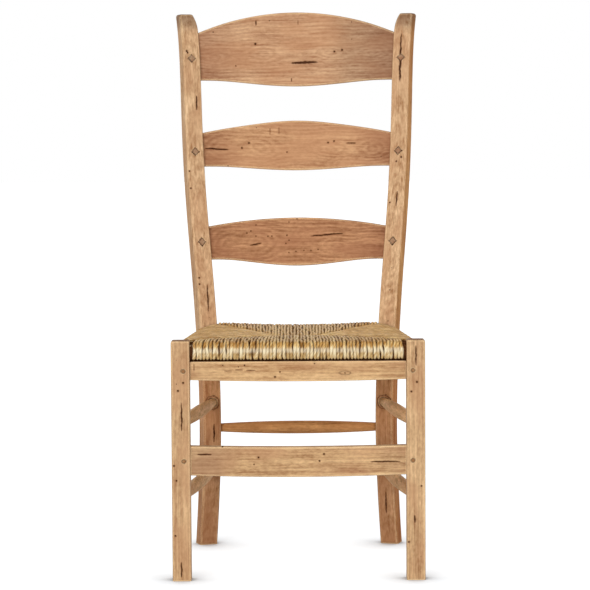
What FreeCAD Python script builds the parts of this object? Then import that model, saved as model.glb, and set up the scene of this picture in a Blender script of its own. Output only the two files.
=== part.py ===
import FreeCAD, Part
import math
import os

from FreeCAD import Placement, Rotation, Vector

# A rush-seated ladderback dining chair, in millimetres. +Z is up, X runs across the seat and
# the sitter faces -Y. While it is laid out, Y is 0 on the front faces of the front legs. The
# last step moves the chair so that its origin is on the floor, in the middle of its box.

# Front legs: square posts that stand a little proud of the seat.
LEG_SPREAD = 490.0          # over the outer faces of the two front legs
LEG_SECTION = 36.0          # square section
LEG_ABOVE_SEAT = 2.0        # the leg's top over the seat's top
LEG_EDGE = 2.5              # worn roundness of the long edges
LEG_TOP_OUTER = 4.5         # roundness of the top edge on the outside
LEG_TOP_INNER = 3.0

# Rear posts: one sabre-shaped board each, from the floor to the top of the back. Each is turned
# about its own height so that its front face looks inwards, square to the slats' curved ends.
POST_HEIGHT = 1114.0
POST_TURN = 20.0            # degrees
POST_WIDTH = 38.0           # across the front face
POST_WAIST_X = 184.0        # middle of the section at the waist, from the centre line
POST_WAIST_Y = 390.0        # and behind the front legs' front faces
POST_WAIST_HEIGHT = 240.0   # where the post stands furthest forward
FOOT_SWEEP = 31.7           # how far the foot runs back from the waist
TOP_SWEEP = 145.0           # how far the top runs back from the waist
FOOT_DEPTH = 32.0           # front to back of the section at the floor
SEAT_DEPTH_OF_POST = 35.0   # at the seat
TOP_DEPTH = 28.0            # at the top
POST_EDGE = 3.0
POST_TOP_EDGE = 6.0
POST_TOP_TAPER = 9.0        # the inner side draws in by this much at the top
POST_TAPER_LENGTH = 36.0
# The line of the back above the waist, as shares of the height and of TOP_SWEEP: it leans away
# over the seat, steadies between the slats and flares again at the very top.
BACK_LINE = ((0.18, 0.071), (0.36, 0.287), (0.545, 0.57), (0.737, 0.749), (0.868, 0.815),
             (0.939, 0.882))
FOOT_LINE = (0.5, 0.34)     # share of the waist's height from the floor, share of FOOT_SWEEP

# Slats: curved boards in mortises in the posts. Heights are at the slat's own middle and ends.
SLAT_THICKNESS = 13.0
SLAT_EDGE = 2.5
SLAT_TENON = 28.0           # how deep a slat's end goes into the post
SLAT_SPARE = 20.0           # the bent blank's height past the slat's outline, cut away
SLAT_END_SPARE = 5.0        # and its length
# Each slat: how far its pegs are below the top of the posts, the reach of its top and bottom
# edges from the pegs' level at the middle of the slat and at its ends, and how much of the top
# edge's change is made by half way out.
CREST = {"drop": 93.5, "top": 98.0, "top_end": 47.0, "top_half": 0.25,
         "bottom": 59.5, "bottom_end": 46.5}
MIDDLE = {"drop": 289.5, "top": 64.0, "top_end": 35.2, "top_half": 0.34,
          "bottom": 41.3, "bottom_end": 32.0}
LOWER = {"drop": 478.0, "top": 47.5, "top_end": 28.0, "top_half": 0.27,
         "bottom": 53.0, "bottom_end": 38.0}
BOTTOM_HALF = 0.6           # share of the bottom edge's rise that is made by half way out
BOTTOM_THREE_QUARTERS = 0.96

# Seat: woven rush over four hidden rails, with rolled edges and four panels that meet on seams.
SEAT_HEIGHT = 465.0         # top of the rolled edge
RAIL_HEIGHT = 26.0
RAIL_THICKNESS = 20.0
RAIL_EDGE = 5.0
RAIL_TENON_DIAMETER = 13.0
RAIL_TENON_LENGTH = 20.0
RAIL_TENON_STAGGER = 8.0    # front and rear tenons pass over the side ones by twice this
RUSH = 6.0                  # thickness of rush round a rail
ROLL_RADIUS = 17.0          # roundness of the rolled edge
SIDE_RAIL_INSET = 24.0      # side rail's middle line in from the front leg's outer face
SIDE_RAIL_OUTSET = 5.0      # and out from the middle of the rear post
SIDE_RAIL_FALL = 6.0        # how much lower its rear end is
REAR_ROLL_PUFF = 8.0        # extra rush outside the side rails at the rear corners
SEAM_HALF_LENGTH = 36.0     # the front and rear panels meet on a seam of twice this
SEAM_DROP = 6.0             # the seam below the rolled edge
REAR_CORNER_RISE = 4.0      # the rush heaps up by the rear posts
REAR_CORNER_DIP = 1.0       # the seam there below the heap
PANEL_CROWN = 3.0           # how far a panel swells above a straight line from roll to seam
FULL_CROWN_WIDTH = 68.0     # a panel narrower than this swells less
UNDERSIDE_LIFT = 4.0        # the underside is drawn up towards the seam

# Front apron and front stretcher: boards with tenons in the front legs.
APRON_HEIGHT = 36.0         # at its ends
APRON_THICKNESS = 18.0
APRON_RECESS = 7.0          # behind the legs' front faces
APRON_BELLY = 3.5           # the bottom edge bows down by this
APRON_GAP = 0.5             # under the rush
STRETCHER_TOP = 262.3       # top edge at its ends
STRETCHER_HEIGHT = 57.0
STRETCHER_THICKNESS = 20.0
STRETCHER_RECESS = 6.0
STRETCHER_TOP_DIP = 2.6
STRETCHER_BELLY = 4.0
BOARD_EDGE = 2.0
BOARD_TENON_LENGTH = 22.0
BOARD_TENON_THICKNESS = 9.0
BOARD_TENON_SHOULDER = 5.0  # above and below the tenon

# Turned stretchers: cigar-shaped, round ends straight into their sockets.
SPINDLE_END = 16.0          # diameter
SPINDLE_SOCKET = 20.0       # depth
SIDE_SPINDLE_MIDDLE = 26.5
REAR_SPINDLE_END = 17.0
REAR_SPINDLE_MIDDLE = 27.0
UPPER_SIDE_HEIGHT = 303.5
LOWER_SIDE_HEIGHT = 160.0
REAR_SPINDLE_HEIGHT = 249.0

# Pegs: square-headed through the posts into the slats, round through the legs into the boards.
SLAT_PEG_SQUARE = 10.5      # side of the head, which is set corner up
SLAT_PEG_PROUD = 1.3
SLAT_PEG_HEAD_DEPTH = 3.0
SLAT_PEG_SHANK = 8.5
SLAT_PEG_LENGTH = 24.0
LEG_PEG_DIAMETER = 7.0
LEG_PEG_LENGTH = 28.0
LEG_PEG_PROUD = 0.4
LEG_PEG_INSET = 24.0        # from the leg's outer side
PEG_EDGE = 0.6

# Clearances
FIT = 0.15                  # all round a tenon
PEG_FIT = 0.1
SOCKET_END = 1.0            # glue room past the end of a tenon
SOFT_GAP = 0.3              # between rush and wood
BIG = 2000.0                # reaches past the whole chair, for cutting shapes
SAME = 0.01                 # heights and widths this close count as the same
LEAN_STEP = 12.0            # a post's lean is measured this far up and down
HALVINGS = 40               # in the search for a height on a post's line


# Places worked out from the sizes above
leg_inner_x = LEG_SPREAD / 2 - LEG_SECTION
leg_middle_y = LEG_SECTION / 2
leg_height = SEAT_HEIGHT + LEG_ABOVE_SEAT
roll_height = RAIL_HEIGHT + 2 * RUSH
rush_bottom = SEAT_HEIGHT - roll_height
rail_level = SEAT_HEIGHT - roll_height / 2
apron_top = rush_bottom - APRON_GAP
seam_heights = (SEAT_HEIGHT - SEAM_DROP, rush_bottom + UNDERSIDE_LIFT)
side_rail_front_x = LEG_SPREAD / 2 - SIDE_RAIL_INSET
side_rail_rear_x = POST_WAIST_X + SIDE_RAIL_OUTSET
turn = math.radians(POST_TURN)


def mirrored(shape):
    """The same piece on the other side of the chair."""
    return shape.mirror(Vector(0, 0, 0), Vector(1, 0, 0))


def prism(outline, direction):
    """A solid pushed out from a closed outline of edges."""
    return Part.Face(Part.Wire(outline)).extrude(direction)


def spline(points):
    """A smooth curve through points."""
    curve = Part.BSplineCurve()
    curve.interpolate(points)
    return curve


def middle_of(edge):
    """The point half way along an edge."""
    return edge.valueAt((edge.FirstParameter + edge.LastParameter) / 2)


def ease(shape, radius, wanted):
    """Rounds the edges that the function wanted picks out."""
    return shape.makeFillet(radius, [edge for edge in shape.Edges if wanted(edge)])


# Rear posts

def post_stations():
    """Height, sweep and depth of the post's section, from the floor to the top."""
    rise = POST_HEIGHT - POST_WAIST_HEIGHT
    stations = [(0.0, FOOT_SWEEP)]
    stations.append((FOOT_LINE[0] * POST_WAIST_HEIGHT, FOOT_LINE[1] * FOOT_SWEEP))
    stations.append((POST_WAIST_HEIGHT, 0.0))
    for height_share, sweep_share in BACK_LINE:
        stations.append((POST_WAIST_HEIGHT + height_share * rise, sweep_share * TOP_SWEEP))
    stations.append((POST_HEIGHT, TOP_SWEEP))
    return [(height, sweep, post_depth(height)) for height, sweep in stations]


def post_depth(height):
    """The section is deepest at the seat and thins to the floor and to the top."""
    if height < SEAT_HEIGHT:
        share = height / SEAT_HEIGHT
        return FOOT_DEPTH + (SEAT_DEPTH_OF_POST - FOOT_DEPTH) * math.sin(share * math.pi / 2)
    share = (height - SEAT_HEIGHT) / (POST_HEIGHT - SEAT_HEIGHT)
    return SEAT_DEPTH_OF_POST + (TOP_DEPTH - SEAT_DEPTH_OF_POST) * share


def post_line(across, share, grow=0.0):
    """The post's line in its own frame: share is -0.5 on the front face, 0.5 on the back."""
    side = math.copysign(grow, share) if share else 0.0
    return spline([Vector(across, sweep + share * depth + side, height)
                   for height, sweep, depth in post_stations()])


def on_line(line, height):
    """The point of a post's line at a height."""
    low, high = line.FirstParameter, line.LastParameter
    for _ in range(HALVINGS):
        middle = (low + high) / 2
        if line.value(middle).z < height:
            low = middle
        else:
            high = middle
    return line.value(low)


centre_line = post_line(0.0, 0.0)
front_line = post_line(0.0, -0.5)
post_place = Placement(Vector(-POST_WAIST_X, POST_WAIST_Y, 0), Rotation(Vector(0, 0, 1), POST_TURN))


def post_point(across, line, height):
    """A point on the left post, across its width from the middle, in the chair's frame."""
    point = on_line(line, height)
    return post_place.multVec(Vector(across, point.y, height))


def lean(line, height):
    """How far the line runs back for each unit of height."""
    above, below = on_line(line, height + LEAN_STEP), on_line(line, height - LEAN_STEP)
    return (above.y - below.y) / (2 * LEAN_STEP)


def post_board(grow=0.0):
    """The left post before its joints: its side profile cut to its front outline."""
    half = POST_WIDTH / 2 + grow
    front = post_line(-half, -0.5, grow).toShape()
    back = post_line(-half, 0.5, grow).toShape()
    outline = [front,
               Part.makeLine(front.valueAt(front.LastParameter), back.valueAt(back.LastParameter)),
               back,
               Part.makeLine(back.valueAt(back.FirstParameter), front.valueAt(front.FirstParameter))]
    board = prism(outline, Vector(2 * half, 0, 0))

    # The inner side draws in at the top on an arc that starts in line with the side.
    start = Vector(half, -BIG / 2, POST_HEIGHT - POST_TAPER_LENGTH)
    end = Vector(half - POST_TOP_TAPER, -BIG / 2, POST_HEIGHT)
    radius = (POST_TAPER_LENGTH ** 2 + POST_TOP_TAPER ** 2) / (2 * POST_TOP_TAPER)
    half_angle = math.asin(POST_TAPER_LENGTH / radius) / 2
    between = Vector(half - radius * (1 - math.cos(half_angle)), -BIG / 2,
                     start.z + radius * math.sin(half_angle))
    corners = [Vector(half, -BIG / 2, 0), Vector(-half, -BIG / 2, 0),
               Vector(-half, -BIG / 2, POST_HEIGHT)]
    front_outline = [Part.makeLine(end, corners[2]), Part.makeLine(corners[2], corners[1]),
                     Part.makeLine(corners[1], corners[0]), Part.makeLine(corners[0], start),
                     Part.Arc(start, between, end).toShape()]
    board = board.common(prism(front_outline, Vector(0, BIG, 0)))

    top = POST_HEIGHT - SAME
    board = ease(board, POST_TOP_EDGE, lambda edge: edge.BoundBox.ZMin > top
                 and on_side_face(edge))
    board = ease(board, POST_EDGE, lambda edge: edge.BoundBox.ZMax > SAME
                 and not on_side_face(edge))
    board.Placement = post_place
    return board


def on_side_face(edge):
    """True for the short edges that run front to back."""
    return edge.BoundBox.YLength > max(edge.BoundBox.XLength, edge.BoundBox.ZLength)


# Slats

def slat_board(shape, level, grow=0.0):
    """One slat: an arc in plan, pushed up along the lean of the posts and cut to its outline."""
    middle = post_point(0.0, centre_line, level)
    half_span = -middle.x
    radius = half_span / math.sin(turn)
    centre_y = middle.y - radius * math.cos(turn)
    past_middle = SLAT_TENON - POST_WIDTH / 2 + (SOCKET_END if grow else 0.0)
    angle = turn + past_middle / radius
    slope = lean(centre_line, level) / math.cos(turn)
    reach = max(shape["top"], shape["bottom"]) + SLAT_SPARE

    def on_arc(distance, at):
        x = distance * math.sin(at)
        y = centre_y + distance * math.cos(at) - slope * reach
        return Vector(x, y, level - reach)

    inside = radius - SLAT_THICKNESS / 2 - grow
    outside = radius + SLAT_THICKNESS / 2 + grow
    band = [Part.Arc(on_arc(inside, -angle), on_arc(inside, 0), on_arc(inside, angle)).toShape(),
            Part.makeLine(on_arc(inside, angle), on_arc(outside, angle)),
            Part.Arc(on_arc(outside, angle), on_arc(outside, 0), on_arc(outside, -angle)).toShape(),
            Part.makeLine(on_arc(outside, -angle), on_arc(inside, -angle))]
    board = prism(band, Vector(0, 2 * reach * slope, 2 * reach))

    end_x = outside * math.sin(angle) + SLAT_END_SPARE
    y = middle.y - BIG / 2

    def edge_line(middle_height, end_height, half, three_quarters):
        change = end_height - middle_height
        heights = ((0.0, 0.0), (0.5, half), (0.75, three_quarters), (1.0, 1.0))
        right = [Vector(share * half_span, y, level + middle_height + part * change)
                 for share, part in heights]
        last = Vector(end_x, y, level + end_height + part_slope(right) * (end_x - half_span))
        right.append(last)
        left = [Vector(-point.x, y, point.z) for point in reversed(right[1:])]
        return spline(left + right).toShape()

    def part_slope(points):
        return (points[-1].z - points[-2].z) / (points[-1].x - points[-2].x)

    top_half = shape["top_half"]
    top = edge_line(shape["top"] + grow, shape["top_end"] + grow, top_half,
                    (top_half + 1) / 2 - (0.5 - top_half) / 4)
    bottom = edge_line(-shape["bottom"] - grow, -shape["bottom_end"] - grow, BOTTOM_HALF,
                       BOTTOM_THREE_QUARTERS)
    ends = [Part.makeLine(top.valueAt(top.LastParameter), bottom.valueAt(bottom.LastParameter)),
            Part.makeLine(top.valueAt(top.FirstParameter), bottom.valueAt(bottom.FirstParameter))]
    board = board.common(prism([top, ends[0], bottom, ends[1]], Vector(0, BIG, 0)))
    return ease(board, SLAT_EDGE + grow, lambda edge: edge.Length > half_span)


def slat_peg_place(level):
    """At the front face of the left post, with Y going square into the leaning face."""
    surface = post_point(0.0, front_line, level)
    back = math.degrees(math.atan(lean(front_line, level)))
    return Placement(surface, Rotation(Vector(0, 0, 1), POST_TURN) * Rotation(Vector(1, 0, 0), -back))


def slat_peg(level, grow=0.0):
    """A peg with a square head set corner up, on a round shank."""
    side = SLAT_PEG_SQUARE + 2 * grow
    front = -SLAT_PEG_PROUD - (POST_EDGE if grow else 0.0)
    head = Part.makeBox(side, SLAT_PEG_HEAD_DEPTH - front, side, Vector(-side / 2, front, -side / 2))
    if not grow:
        head = ease(head, PEG_EDGE, lambda edge: edge.BoundBox.YMax < front + SAME)
    head.rotate(Vector(0, 0, 0), Vector(0, 1, 0), 45)
    length = SLAT_PEG_LENGTH + (SOCKET_END if grow else 0.0)
    shank = Part.makeCylinder(SLAT_PEG_SHANK / 2 + grow, length, Vector(0, 0, 0), Vector(0, 1, 0))
    peg = head.fuse(shank)
    peg.Placement = slat_peg_place(level)
    return peg


# Boards between the front legs

def leg_board(top_level, height, thickness, recess, top_dip, belly, grow=0.0):
    """A board with a slightly curved top and bottom edge and a tenon at each end."""
    def bowed(z, bow, flip):
        ends = [Vector(-leg_inner_x, recess, z), Vector(leg_inner_x, recess, z)]
        if flip:
            ends.reverse()
        if abs(bow) < SAME:
            return Part.makeLine(ends[0], ends[1])
        return Part.Arc(ends[0], Vector(0, recess, z - bow), ends[1]).toShape()

    bottom_level = top_level - height
    top = bowed(top_level, top_dip, False)
    bottom = bowed(bottom_level, belly, True)
    sides = [Part.makeLine(Vector(leg_inner_x, recess, top_level),
                           Vector(leg_inner_x, recess, bottom_level)),
             Part.makeLine(Vector(-leg_inner_x, recess, bottom_level),
                           Vector(-leg_inner_x, recess, top_level))]
    board = prism([top, sides[0], bottom, sides[1]], Vector(0, thickness, 0))
    board = ease(board, BOARD_EDGE, lambda edge: edge.Length > leg_inner_x)
    return board.fuse(board_tenons(top_level, height, thickness, recess, grow))


def board_tenons(top_level, height, thickness, recess, grow=0.0):
    """The pair of tenons as one bar, which runs through the middle of the board."""
    reach = leg_inner_x + BOARD_TENON_LENGTH + (SOCKET_END if grow else 0.0)
    tall = height - 2 * BOARD_TENON_SHOULDER + 2 * grow
    thick = BOARD_TENON_THICKNESS + 2 * grow
    corner = Vector(-reach, recess + thickness / 2 - thick / 2,
                    top_level - BOARD_TENON_SHOULDER - tall + grow)
    return Part.makeBox(2 * reach, thick, tall, corner)


apron_sizes = (apron_top, APRON_HEIGHT, APRON_THICKNESS, APRON_RECESS)
stretcher_sizes = (STRETCHER_TOP, STRETCHER_HEIGHT, STRETCHER_THICKNESS, STRETCHER_RECESS)


def leg_peg(board_sizes, grow=0.0):
    """A round peg through the left leg's front face into a board's tenon."""
    top_level, height, _, _ = board_sizes
    x = -LEG_SPREAD / 2 + LEG_PEG_INSET
    front = -LEG_PEG_PROUD if not grow else -LEG_EDGE
    length = LEG_PEG_LENGTH - front + (SOCKET_END if grow else 0.0)
    peg = Part.makeCylinder(LEG_PEG_DIAMETER / 2 + grow, length,
                            Vector(x, front, top_level - height / 2), Vector(0, 1, 0))
    return peg


# Turned stretchers

def spindle(start, end, end_diameter, middle_diameter, grow=0.0):
    """A cigar-shaped bar from one face to another, with its straight ends in their sockets."""
    length = (end - start).Length
    socket = SPINDLE_SOCKET + (SOCKET_END if grow else 0.0)
    narrow = end_diameter / 2 + grow
    wide = middle_diameter / 2 + grow
    outline = [Part.makeLine(Vector(0, 0, -socket), Vector(narrow, 0, -socket)),
               Part.makeLine(Vector(narrow, 0, -socket), Vector(narrow, 0, 0)),
               Part.Arc(Vector(narrow, 0, 0), Vector(wide, 0, length / 2),
                        Vector(narrow, 0, length)).toShape(),
               Part.makeLine(Vector(narrow, 0, length), Vector(narrow, 0, length + socket)),
               Part.makeLine(Vector(narrow, 0, length + socket), Vector(0, 0, length + socket)),
               Part.makeLine(Vector(0, 0, length + socket), Vector(0, 0, -socket))]
    bar = Part.Face(Part.Wire(outline)).revolve(Vector(0, 0, 0), Vector(0, 0, 1), 360)
    bar.Placement = Placement(start, Rotation(Vector(0, 0, 1), end - start))
    return bar


def side_spindle(level, grow=0.0):
    """From the middle of the left leg's back face to the middle of the post's front face."""
    start = Vector(-LEG_SPREAD / 2 + LEG_SECTION / 2, LEG_SECTION, level)
    end = post_point(0.0, front_line, level)
    return spindle(start, end, SPINDLE_END, SIDE_SPINDLE_MIDDLE, grow)


def rear_spindle(grow=0.0):
    """Between the inner sides of the posts."""
    start = post_point(POST_WIDTH / 2, centre_line, REAR_SPINDLE_HEIGHT)
    end = Vector(-start.x, start.y, start.z)
    return spindle(start, end, REAR_SPINDLE_END, REAR_SPINDLE_MIDDLE, grow)


# Seat rails

rear_rail_point = post_point(0.0, centre_line, rail_level)
post_face_point = post_point(0.0, front_line, rail_level)
side_rail_front = Vector(-side_rail_front_x, LEG_SECTION, rail_level)
side_rail_rear = Vector(-side_rail_rear_x,
                        post_face_point.y - math.tan(turn) * (side_rail_rear_x + post_face_point.x),
                        rail_level - SIDE_RAIL_FALL)


def rail(start, end, tenon_rise, grow=0.0):
    """A rounded bar from start to end, with a round tenon past each end, off its middle."""
    run = end - start
    thick = RAIL_THICKNESS + 2 * grow
    tall = RAIL_HEIGHT + 2 * grow
    bar = Part.makeBox(run.Length, thick, tall, Vector(0, -thick / 2, -tall / 2))
    bar = ease(bar, RAIL_EDGE + grow, lambda edge: edge.BoundBox.XLength > run.Length / 2)
    socket = RAIL_TENON_LENGTH + (SOCKET_END if grow else 0.0)
    tenons = Part.makeCylinder(RAIL_TENON_DIAMETER / 2 + grow, run.Length + 2 * socket,
                               Vector(-socket, 0, tenon_rise), Vector(1, 0, 0))
    bar.Placement = tenons.Placement = Placement(start, Rotation(Vector(1, 0, 0), run))
    return bar, tenons


def front_rail(grow=0.0):
    start = Vector(-leg_inner_x, leg_middle_y, rail_level)
    return rail(start, Vector(leg_inner_x, leg_middle_y, rail_level), RAIL_TENON_STAGGER, grow)


def rear_rail(grow=0.0):
    inner = post_point(POST_WIDTH / 2, centre_line, rail_level)
    start = Vector(inner.x, rear_rail_point.y, rail_level)
    return rail(start, Vector(-inner.x, rear_rail_point.y, rail_level), RAIL_TENON_STAGGER, grow)


def side_rail(grow=0.0):
    return rail(side_rail_front, side_rail_rear, -RAIL_TENON_STAGGER, grow)


def coped(bar_and_tenons, posts):
    """Shortens a rail's bar to the faces that it stands against, and keeps its tenons whole."""
    bar, tenons = bar_and_tenons
    for post in posts:
        bar = bar.cut(post)
    bar = max(bar.Solids, key=lambda solid: solid.Volume)
    return bar.fuse(tenons)


# Rush seat

def roll_section(place, outer, inner, roll, seam):
    """A cut through one panel, from its rolled outer edge to the seam or diagonal inside.

    place turns a distance across the panel and a height into a point. roll and seam are the
    heights of the top and the underside at the rolled edge and at the seam.
    """
    roll_top, roll_bottom = roll
    seam_top, seam_bottom = seam
    step = math.copysign(1.0, inner - outer)
    radius = ROLL_RADIUS
    bend = radius * (1 - math.sqrt(0.5))
    flat = outer + step * radius
    half_way = (flat + inner) / 2
    crown = PANEL_CROWN * min(1.0, abs(inner - flat) / FULL_CROWN_WIDTH)
    return Part.Wire([
        Part.Arc(place(flat, roll_bottom), place(outer + step * bend, roll_bottom + bend),
                 place(outer, roll_bottom + radius)).toShape(),
        Part.makeLine(place(outer, roll_bottom + radius), place(outer, roll_top - radius)),
        Part.Arc(place(outer, roll_top - radius), place(outer + step * bend, roll_top - bend),
                 place(flat, roll_top)).toShape(),
        Part.Arc(place(flat, roll_top),
                 place(half_way, (roll_top + seam_top) / 2 + crown),
                 place(inner, seam_top)).toShape(),
        Part.makeLine(place(inner, seam_top), place(inner, seam_bottom)),
        Part.makeLine(place(inner, seam_bottom), place(flat, roll_bottom))])


def cross_panel(outer_y, seam_y, corner, end_top, corner_top):
    """The front or the rear panel: wide at its rail and narrowed to the middle seam."""
    corner_x, corner_y = corner
    at_end = (corner_y, (end_top, rush_bottom), (corner_top, rush_bottom))
    at_seam = (seam_y, (SEAT_HEIGHT, rush_bottom), seam_heights)
    sections = []
    for x, (inner, roll, seam) in ((-corner_x, at_end), (-SEAM_HALF_LENGTH, at_seam),
                                   (SEAM_HALF_LENGTH, at_seam), (corner_x, at_end)):
        sections.append(roll_section(lambda y, z, x=x: Vector(x, y, z), outer_y, inner, roll, seam))
    return Part.makeLoft(sections, True, True)


def rush_seat(wood):
    """Four panels with rolled edges, fitted round the rails, legs and posts in wood."""
    front_corner = (leg_inner_x, LEG_SECTION)
    post_corner = post_point(POST_WIDTH / 2, front_line, rail_level)
    rear_corner = (-post_corner.x, post_corner.y)
    front_y = leg_middle_y - RAIL_THICKNESS / 2 - RUSH
    rear_y = rear_rail_point.y + RAIL_THICKNESS / 2 + RUSH
    seam_y = (front_y + rear_y) / 2
    rear_top = SEAT_HEIGHT + REAR_CORNER_RISE
    rear_seam_top = rear_top - REAR_CORNER_DIP
    front = cross_panel(front_y, seam_y, front_corner, SEAT_HEIGHT, SEAT_HEIGHT)
    rear = cross_panel(rear_y, seam_y, rear_corner, rear_top, rear_seam_top)

    def outer_x(y, puff):
        share = (y - side_rail_front.y) / (side_rail_rear.y - side_rail_front.y)
        rail_x = side_rail_front.x + share * (side_rail_rear.x - side_rail_front.x)
        return rail_x - RAIL_THICKNESS / 2 - RUSH - puff

    # Each cut: its place, its inner end, its share of the way back and its heights inside.
    stations = ((front_corner[1], -front_corner[0], 0.0, (SEAT_HEIGHT, rush_bottom)),
                (seam_y, -SEAM_HALF_LENGTH, 0.5, seam_heights),
                (rear_corner[1], -rear_corner[0], 1.0, (rear_seam_top, rush_bottom)))
    sections = []
    for y, inner, share, seam in stations:
        fall = share * SIDE_RAIL_FALL
        sections.append(roll_section(lambda x, z, y=y: Vector(x, y, z),
                                     outer_x(y, share * REAR_ROLL_PUFF), inner,
                                     (SEAT_HEIGHT - fall, rush_bottom - fall), seam))
    side = Part.makeLoft(sections, True, True)

    # The side roll stops at the plane of the post's front face, also outside the post.
    beyond = Part.makeBox(BIG / 4, BIG / 4, BIG,
                          Vector(-POST_WIDTH / 2 - BIG / 4,
                                 on_line(front_line, rush_bottom).y - SOFT_GAP, 0))
    beyond.Placement = post_place
    side = side.cut(beyond)
    seat = front.fuse([rear, side, mirrored(side)])
    for piece in wood:
        seat = seat.cut(piece)
    return max(seat.Solids, key=lambda solid: solid.Volume)


# Front legs

def front_leg():
    """The left leg before its joints."""
    leg = Part.makeBox(LEG_SECTION, LEG_SECTION, leg_height, Vector(-LEG_SPREAD / 2, 0, 0))
    top = leg_height - SAME

    def on_top_side(edge, x):
        box = edge.BoundBox
        return box.ZMin > top and on_side_face(edge) and abs(middle_of(edge).x - x) < SAME

    leg = ease(leg, LEG_TOP_OUTER, lambda edge: on_top_side(edge, -LEG_SPREAD / 2))
    leg = ease(leg, LEG_TOP_INNER, lambda edge: on_top_side(edge, -leg_inner_x))
    return ease(leg, LEG_EDGE, lambda edge: edge.BoundBox.ZMax > SAME and not on_side_face(edge))


def build_pieces():
    """Every piece of the chair by its node's name, in the layout frame."""
    pieces = {}
    leg_blank = front_leg()
    post_blank = post_board()
    slats = {"crest_slat": CREST, "middle_slat": MIDDLE, "lower_slat": LOWER}
    spindle_levels = {"upper": UPPER_SIDE_HEIGHT, "lower": LOWER_SIDE_HEIGHT}
    boards = {"apron": (apron_sizes, 0.0, APRON_BELLY),
              "front_stretcher": (stretcher_sizes, STRETCHER_TOP_DIP, STRETCHER_BELLY)}

    leg, post = leg_blank, post_blank
    for name, shape in slats.items():
        level = POST_HEIGHT - shape["drop"]
        post = post.cut(slat_board(shape, level, FIT)).cut(slat_peg(level, PEG_FIT))
        slat = slat_board(shape, level)
        holes = slat_peg(level, PEG_FIT)
        pieces[name] = slat.cut(holes).cut(mirrored(holes))
        peg = slat_peg(level)
        pieces[name + "_pegs"] = Part.makeCompound([peg, mirrored(peg)])

    for name, level in spindle_levels.items():
        leg = leg.cut(side_spindle(level, FIT))
        post = post.cut(side_spindle(level, FIT))
        bar = side_spindle(level)
        pieces["left_" + name + "_side_stretcher"] = bar
        pieces["right_" + name + "_side_stretcher"] = mirrored(bar)
    post = post.cut(rear_spindle(FIT))
    pieces["rear_stretcher"] = rear_spindle()

    for name, (sizes, dip, belly) in boards.items():
        leg = leg.cut(board_tenons(*sizes, FIT)).cut(leg_peg(sizes, PEG_FIT))
        holes = leg_peg(sizes, PEG_FIT)
        board = leg_board(*sizes, dip, belly)
        pieces[name] = board.cut(holes).cut(mirrored(holes))
        peg = leg_peg(sizes)
        pieces[name + "_pegs"] = Part.makeCompound([peg, mirrored(peg)])

    grown_post = post_board(SOFT_GAP)
    leg = leg.cut(front_rail(FIT)[1]).cut(side_rail(FIT)[1])
    post = post.cut(rear_rail(FIT)[1]).cut(side_rail(FIT)[1])
    pieces["front_seat_rail"] = coped(front_rail(), [])
    pieces["rear_seat_rail"] = coped(rear_rail(), [grown_post, mirrored(grown_post)])
    left_rail = coped(side_rail(), [leg_blank, grown_post])
    pieces["left_seat_rail"] = left_rail
    pieces["right_seat_rail"] = mirrored(left_rail)

    room = [Part.makeBox(LEG_SECTION + 2 * SOFT_GAP, LEG_SECTION + 2 * SOFT_GAP, leg_height,
                         Vector(-LEG_SPREAD / 2 - SOFT_GAP, -SOFT_GAP, 0)), grown_post]
    room += side_rail(SOFT_GAP)
    wood = room + [mirrored(shape) for shape in room]
    wood += list(front_rail(SOFT_GAP)) + list(rear_rail(SOFT_GAP))
    pieces["rush_seat"] = rush_seat(wood)

    pieces["front_leg_left"] = leg
    pieces["front_leg_right"] = mirrored(leg)
    pieces["rear_post_left"] = post
    pieces["rear_post_right"] = mirrored(post)
    return pieces


def main():
    os.makedirs("parts", exist_ok=True)
    pieces = build_pieces()
    box = FreeCAD.BoundBox()
    for shape in pieces.values():
        box.add(shape.optimalBoundingBox(False))
    shift = Vector(0, -box.Center.y, 0)
    print(f"box {box.XLength:.1f} x {box.YLength:.1f}, moved back to front by {shift.y:.2f}")
    for name, shape in pieces.items():
        shape.translate(shift)
        shape.exportStep(f"parts/{name}.step")
        print(f"{name}: {len(shape.Solids)} solids, {shape.Volume / 1000:.1f} cm3, {shape.isValid()}")


main()
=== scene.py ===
# %% [markdown]
# # A ladderback chair with a woven rush seat
# The frame of this chair is already modelled to its real size. Here it gets its look: aged and
# waxed pale wood with holes and splits, and a seat woven from twisted rush. Everything is in
# metres, and the chair stands on the floor at height 0 with its front towards -Y.

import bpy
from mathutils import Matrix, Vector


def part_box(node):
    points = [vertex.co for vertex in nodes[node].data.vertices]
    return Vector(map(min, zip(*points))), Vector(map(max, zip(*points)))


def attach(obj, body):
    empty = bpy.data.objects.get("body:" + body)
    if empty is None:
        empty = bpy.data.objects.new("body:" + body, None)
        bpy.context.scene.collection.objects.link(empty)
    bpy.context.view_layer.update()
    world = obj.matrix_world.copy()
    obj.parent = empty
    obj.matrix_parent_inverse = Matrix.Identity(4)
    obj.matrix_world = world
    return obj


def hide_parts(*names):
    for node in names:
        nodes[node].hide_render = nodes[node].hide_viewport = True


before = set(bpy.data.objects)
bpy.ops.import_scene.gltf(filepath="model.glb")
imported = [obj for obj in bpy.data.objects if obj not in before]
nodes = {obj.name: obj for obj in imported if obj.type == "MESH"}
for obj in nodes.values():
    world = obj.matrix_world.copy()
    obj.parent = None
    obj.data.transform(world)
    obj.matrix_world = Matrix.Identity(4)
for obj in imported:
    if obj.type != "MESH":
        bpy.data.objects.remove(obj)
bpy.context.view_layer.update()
print("wooden and woven pieces:", len(nodes))

# %% Modules
import math

import bpy
import numpy as np
from mathutils import Matrix, Vector

MM = 0.001
scene = bpy.context.scene

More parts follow.
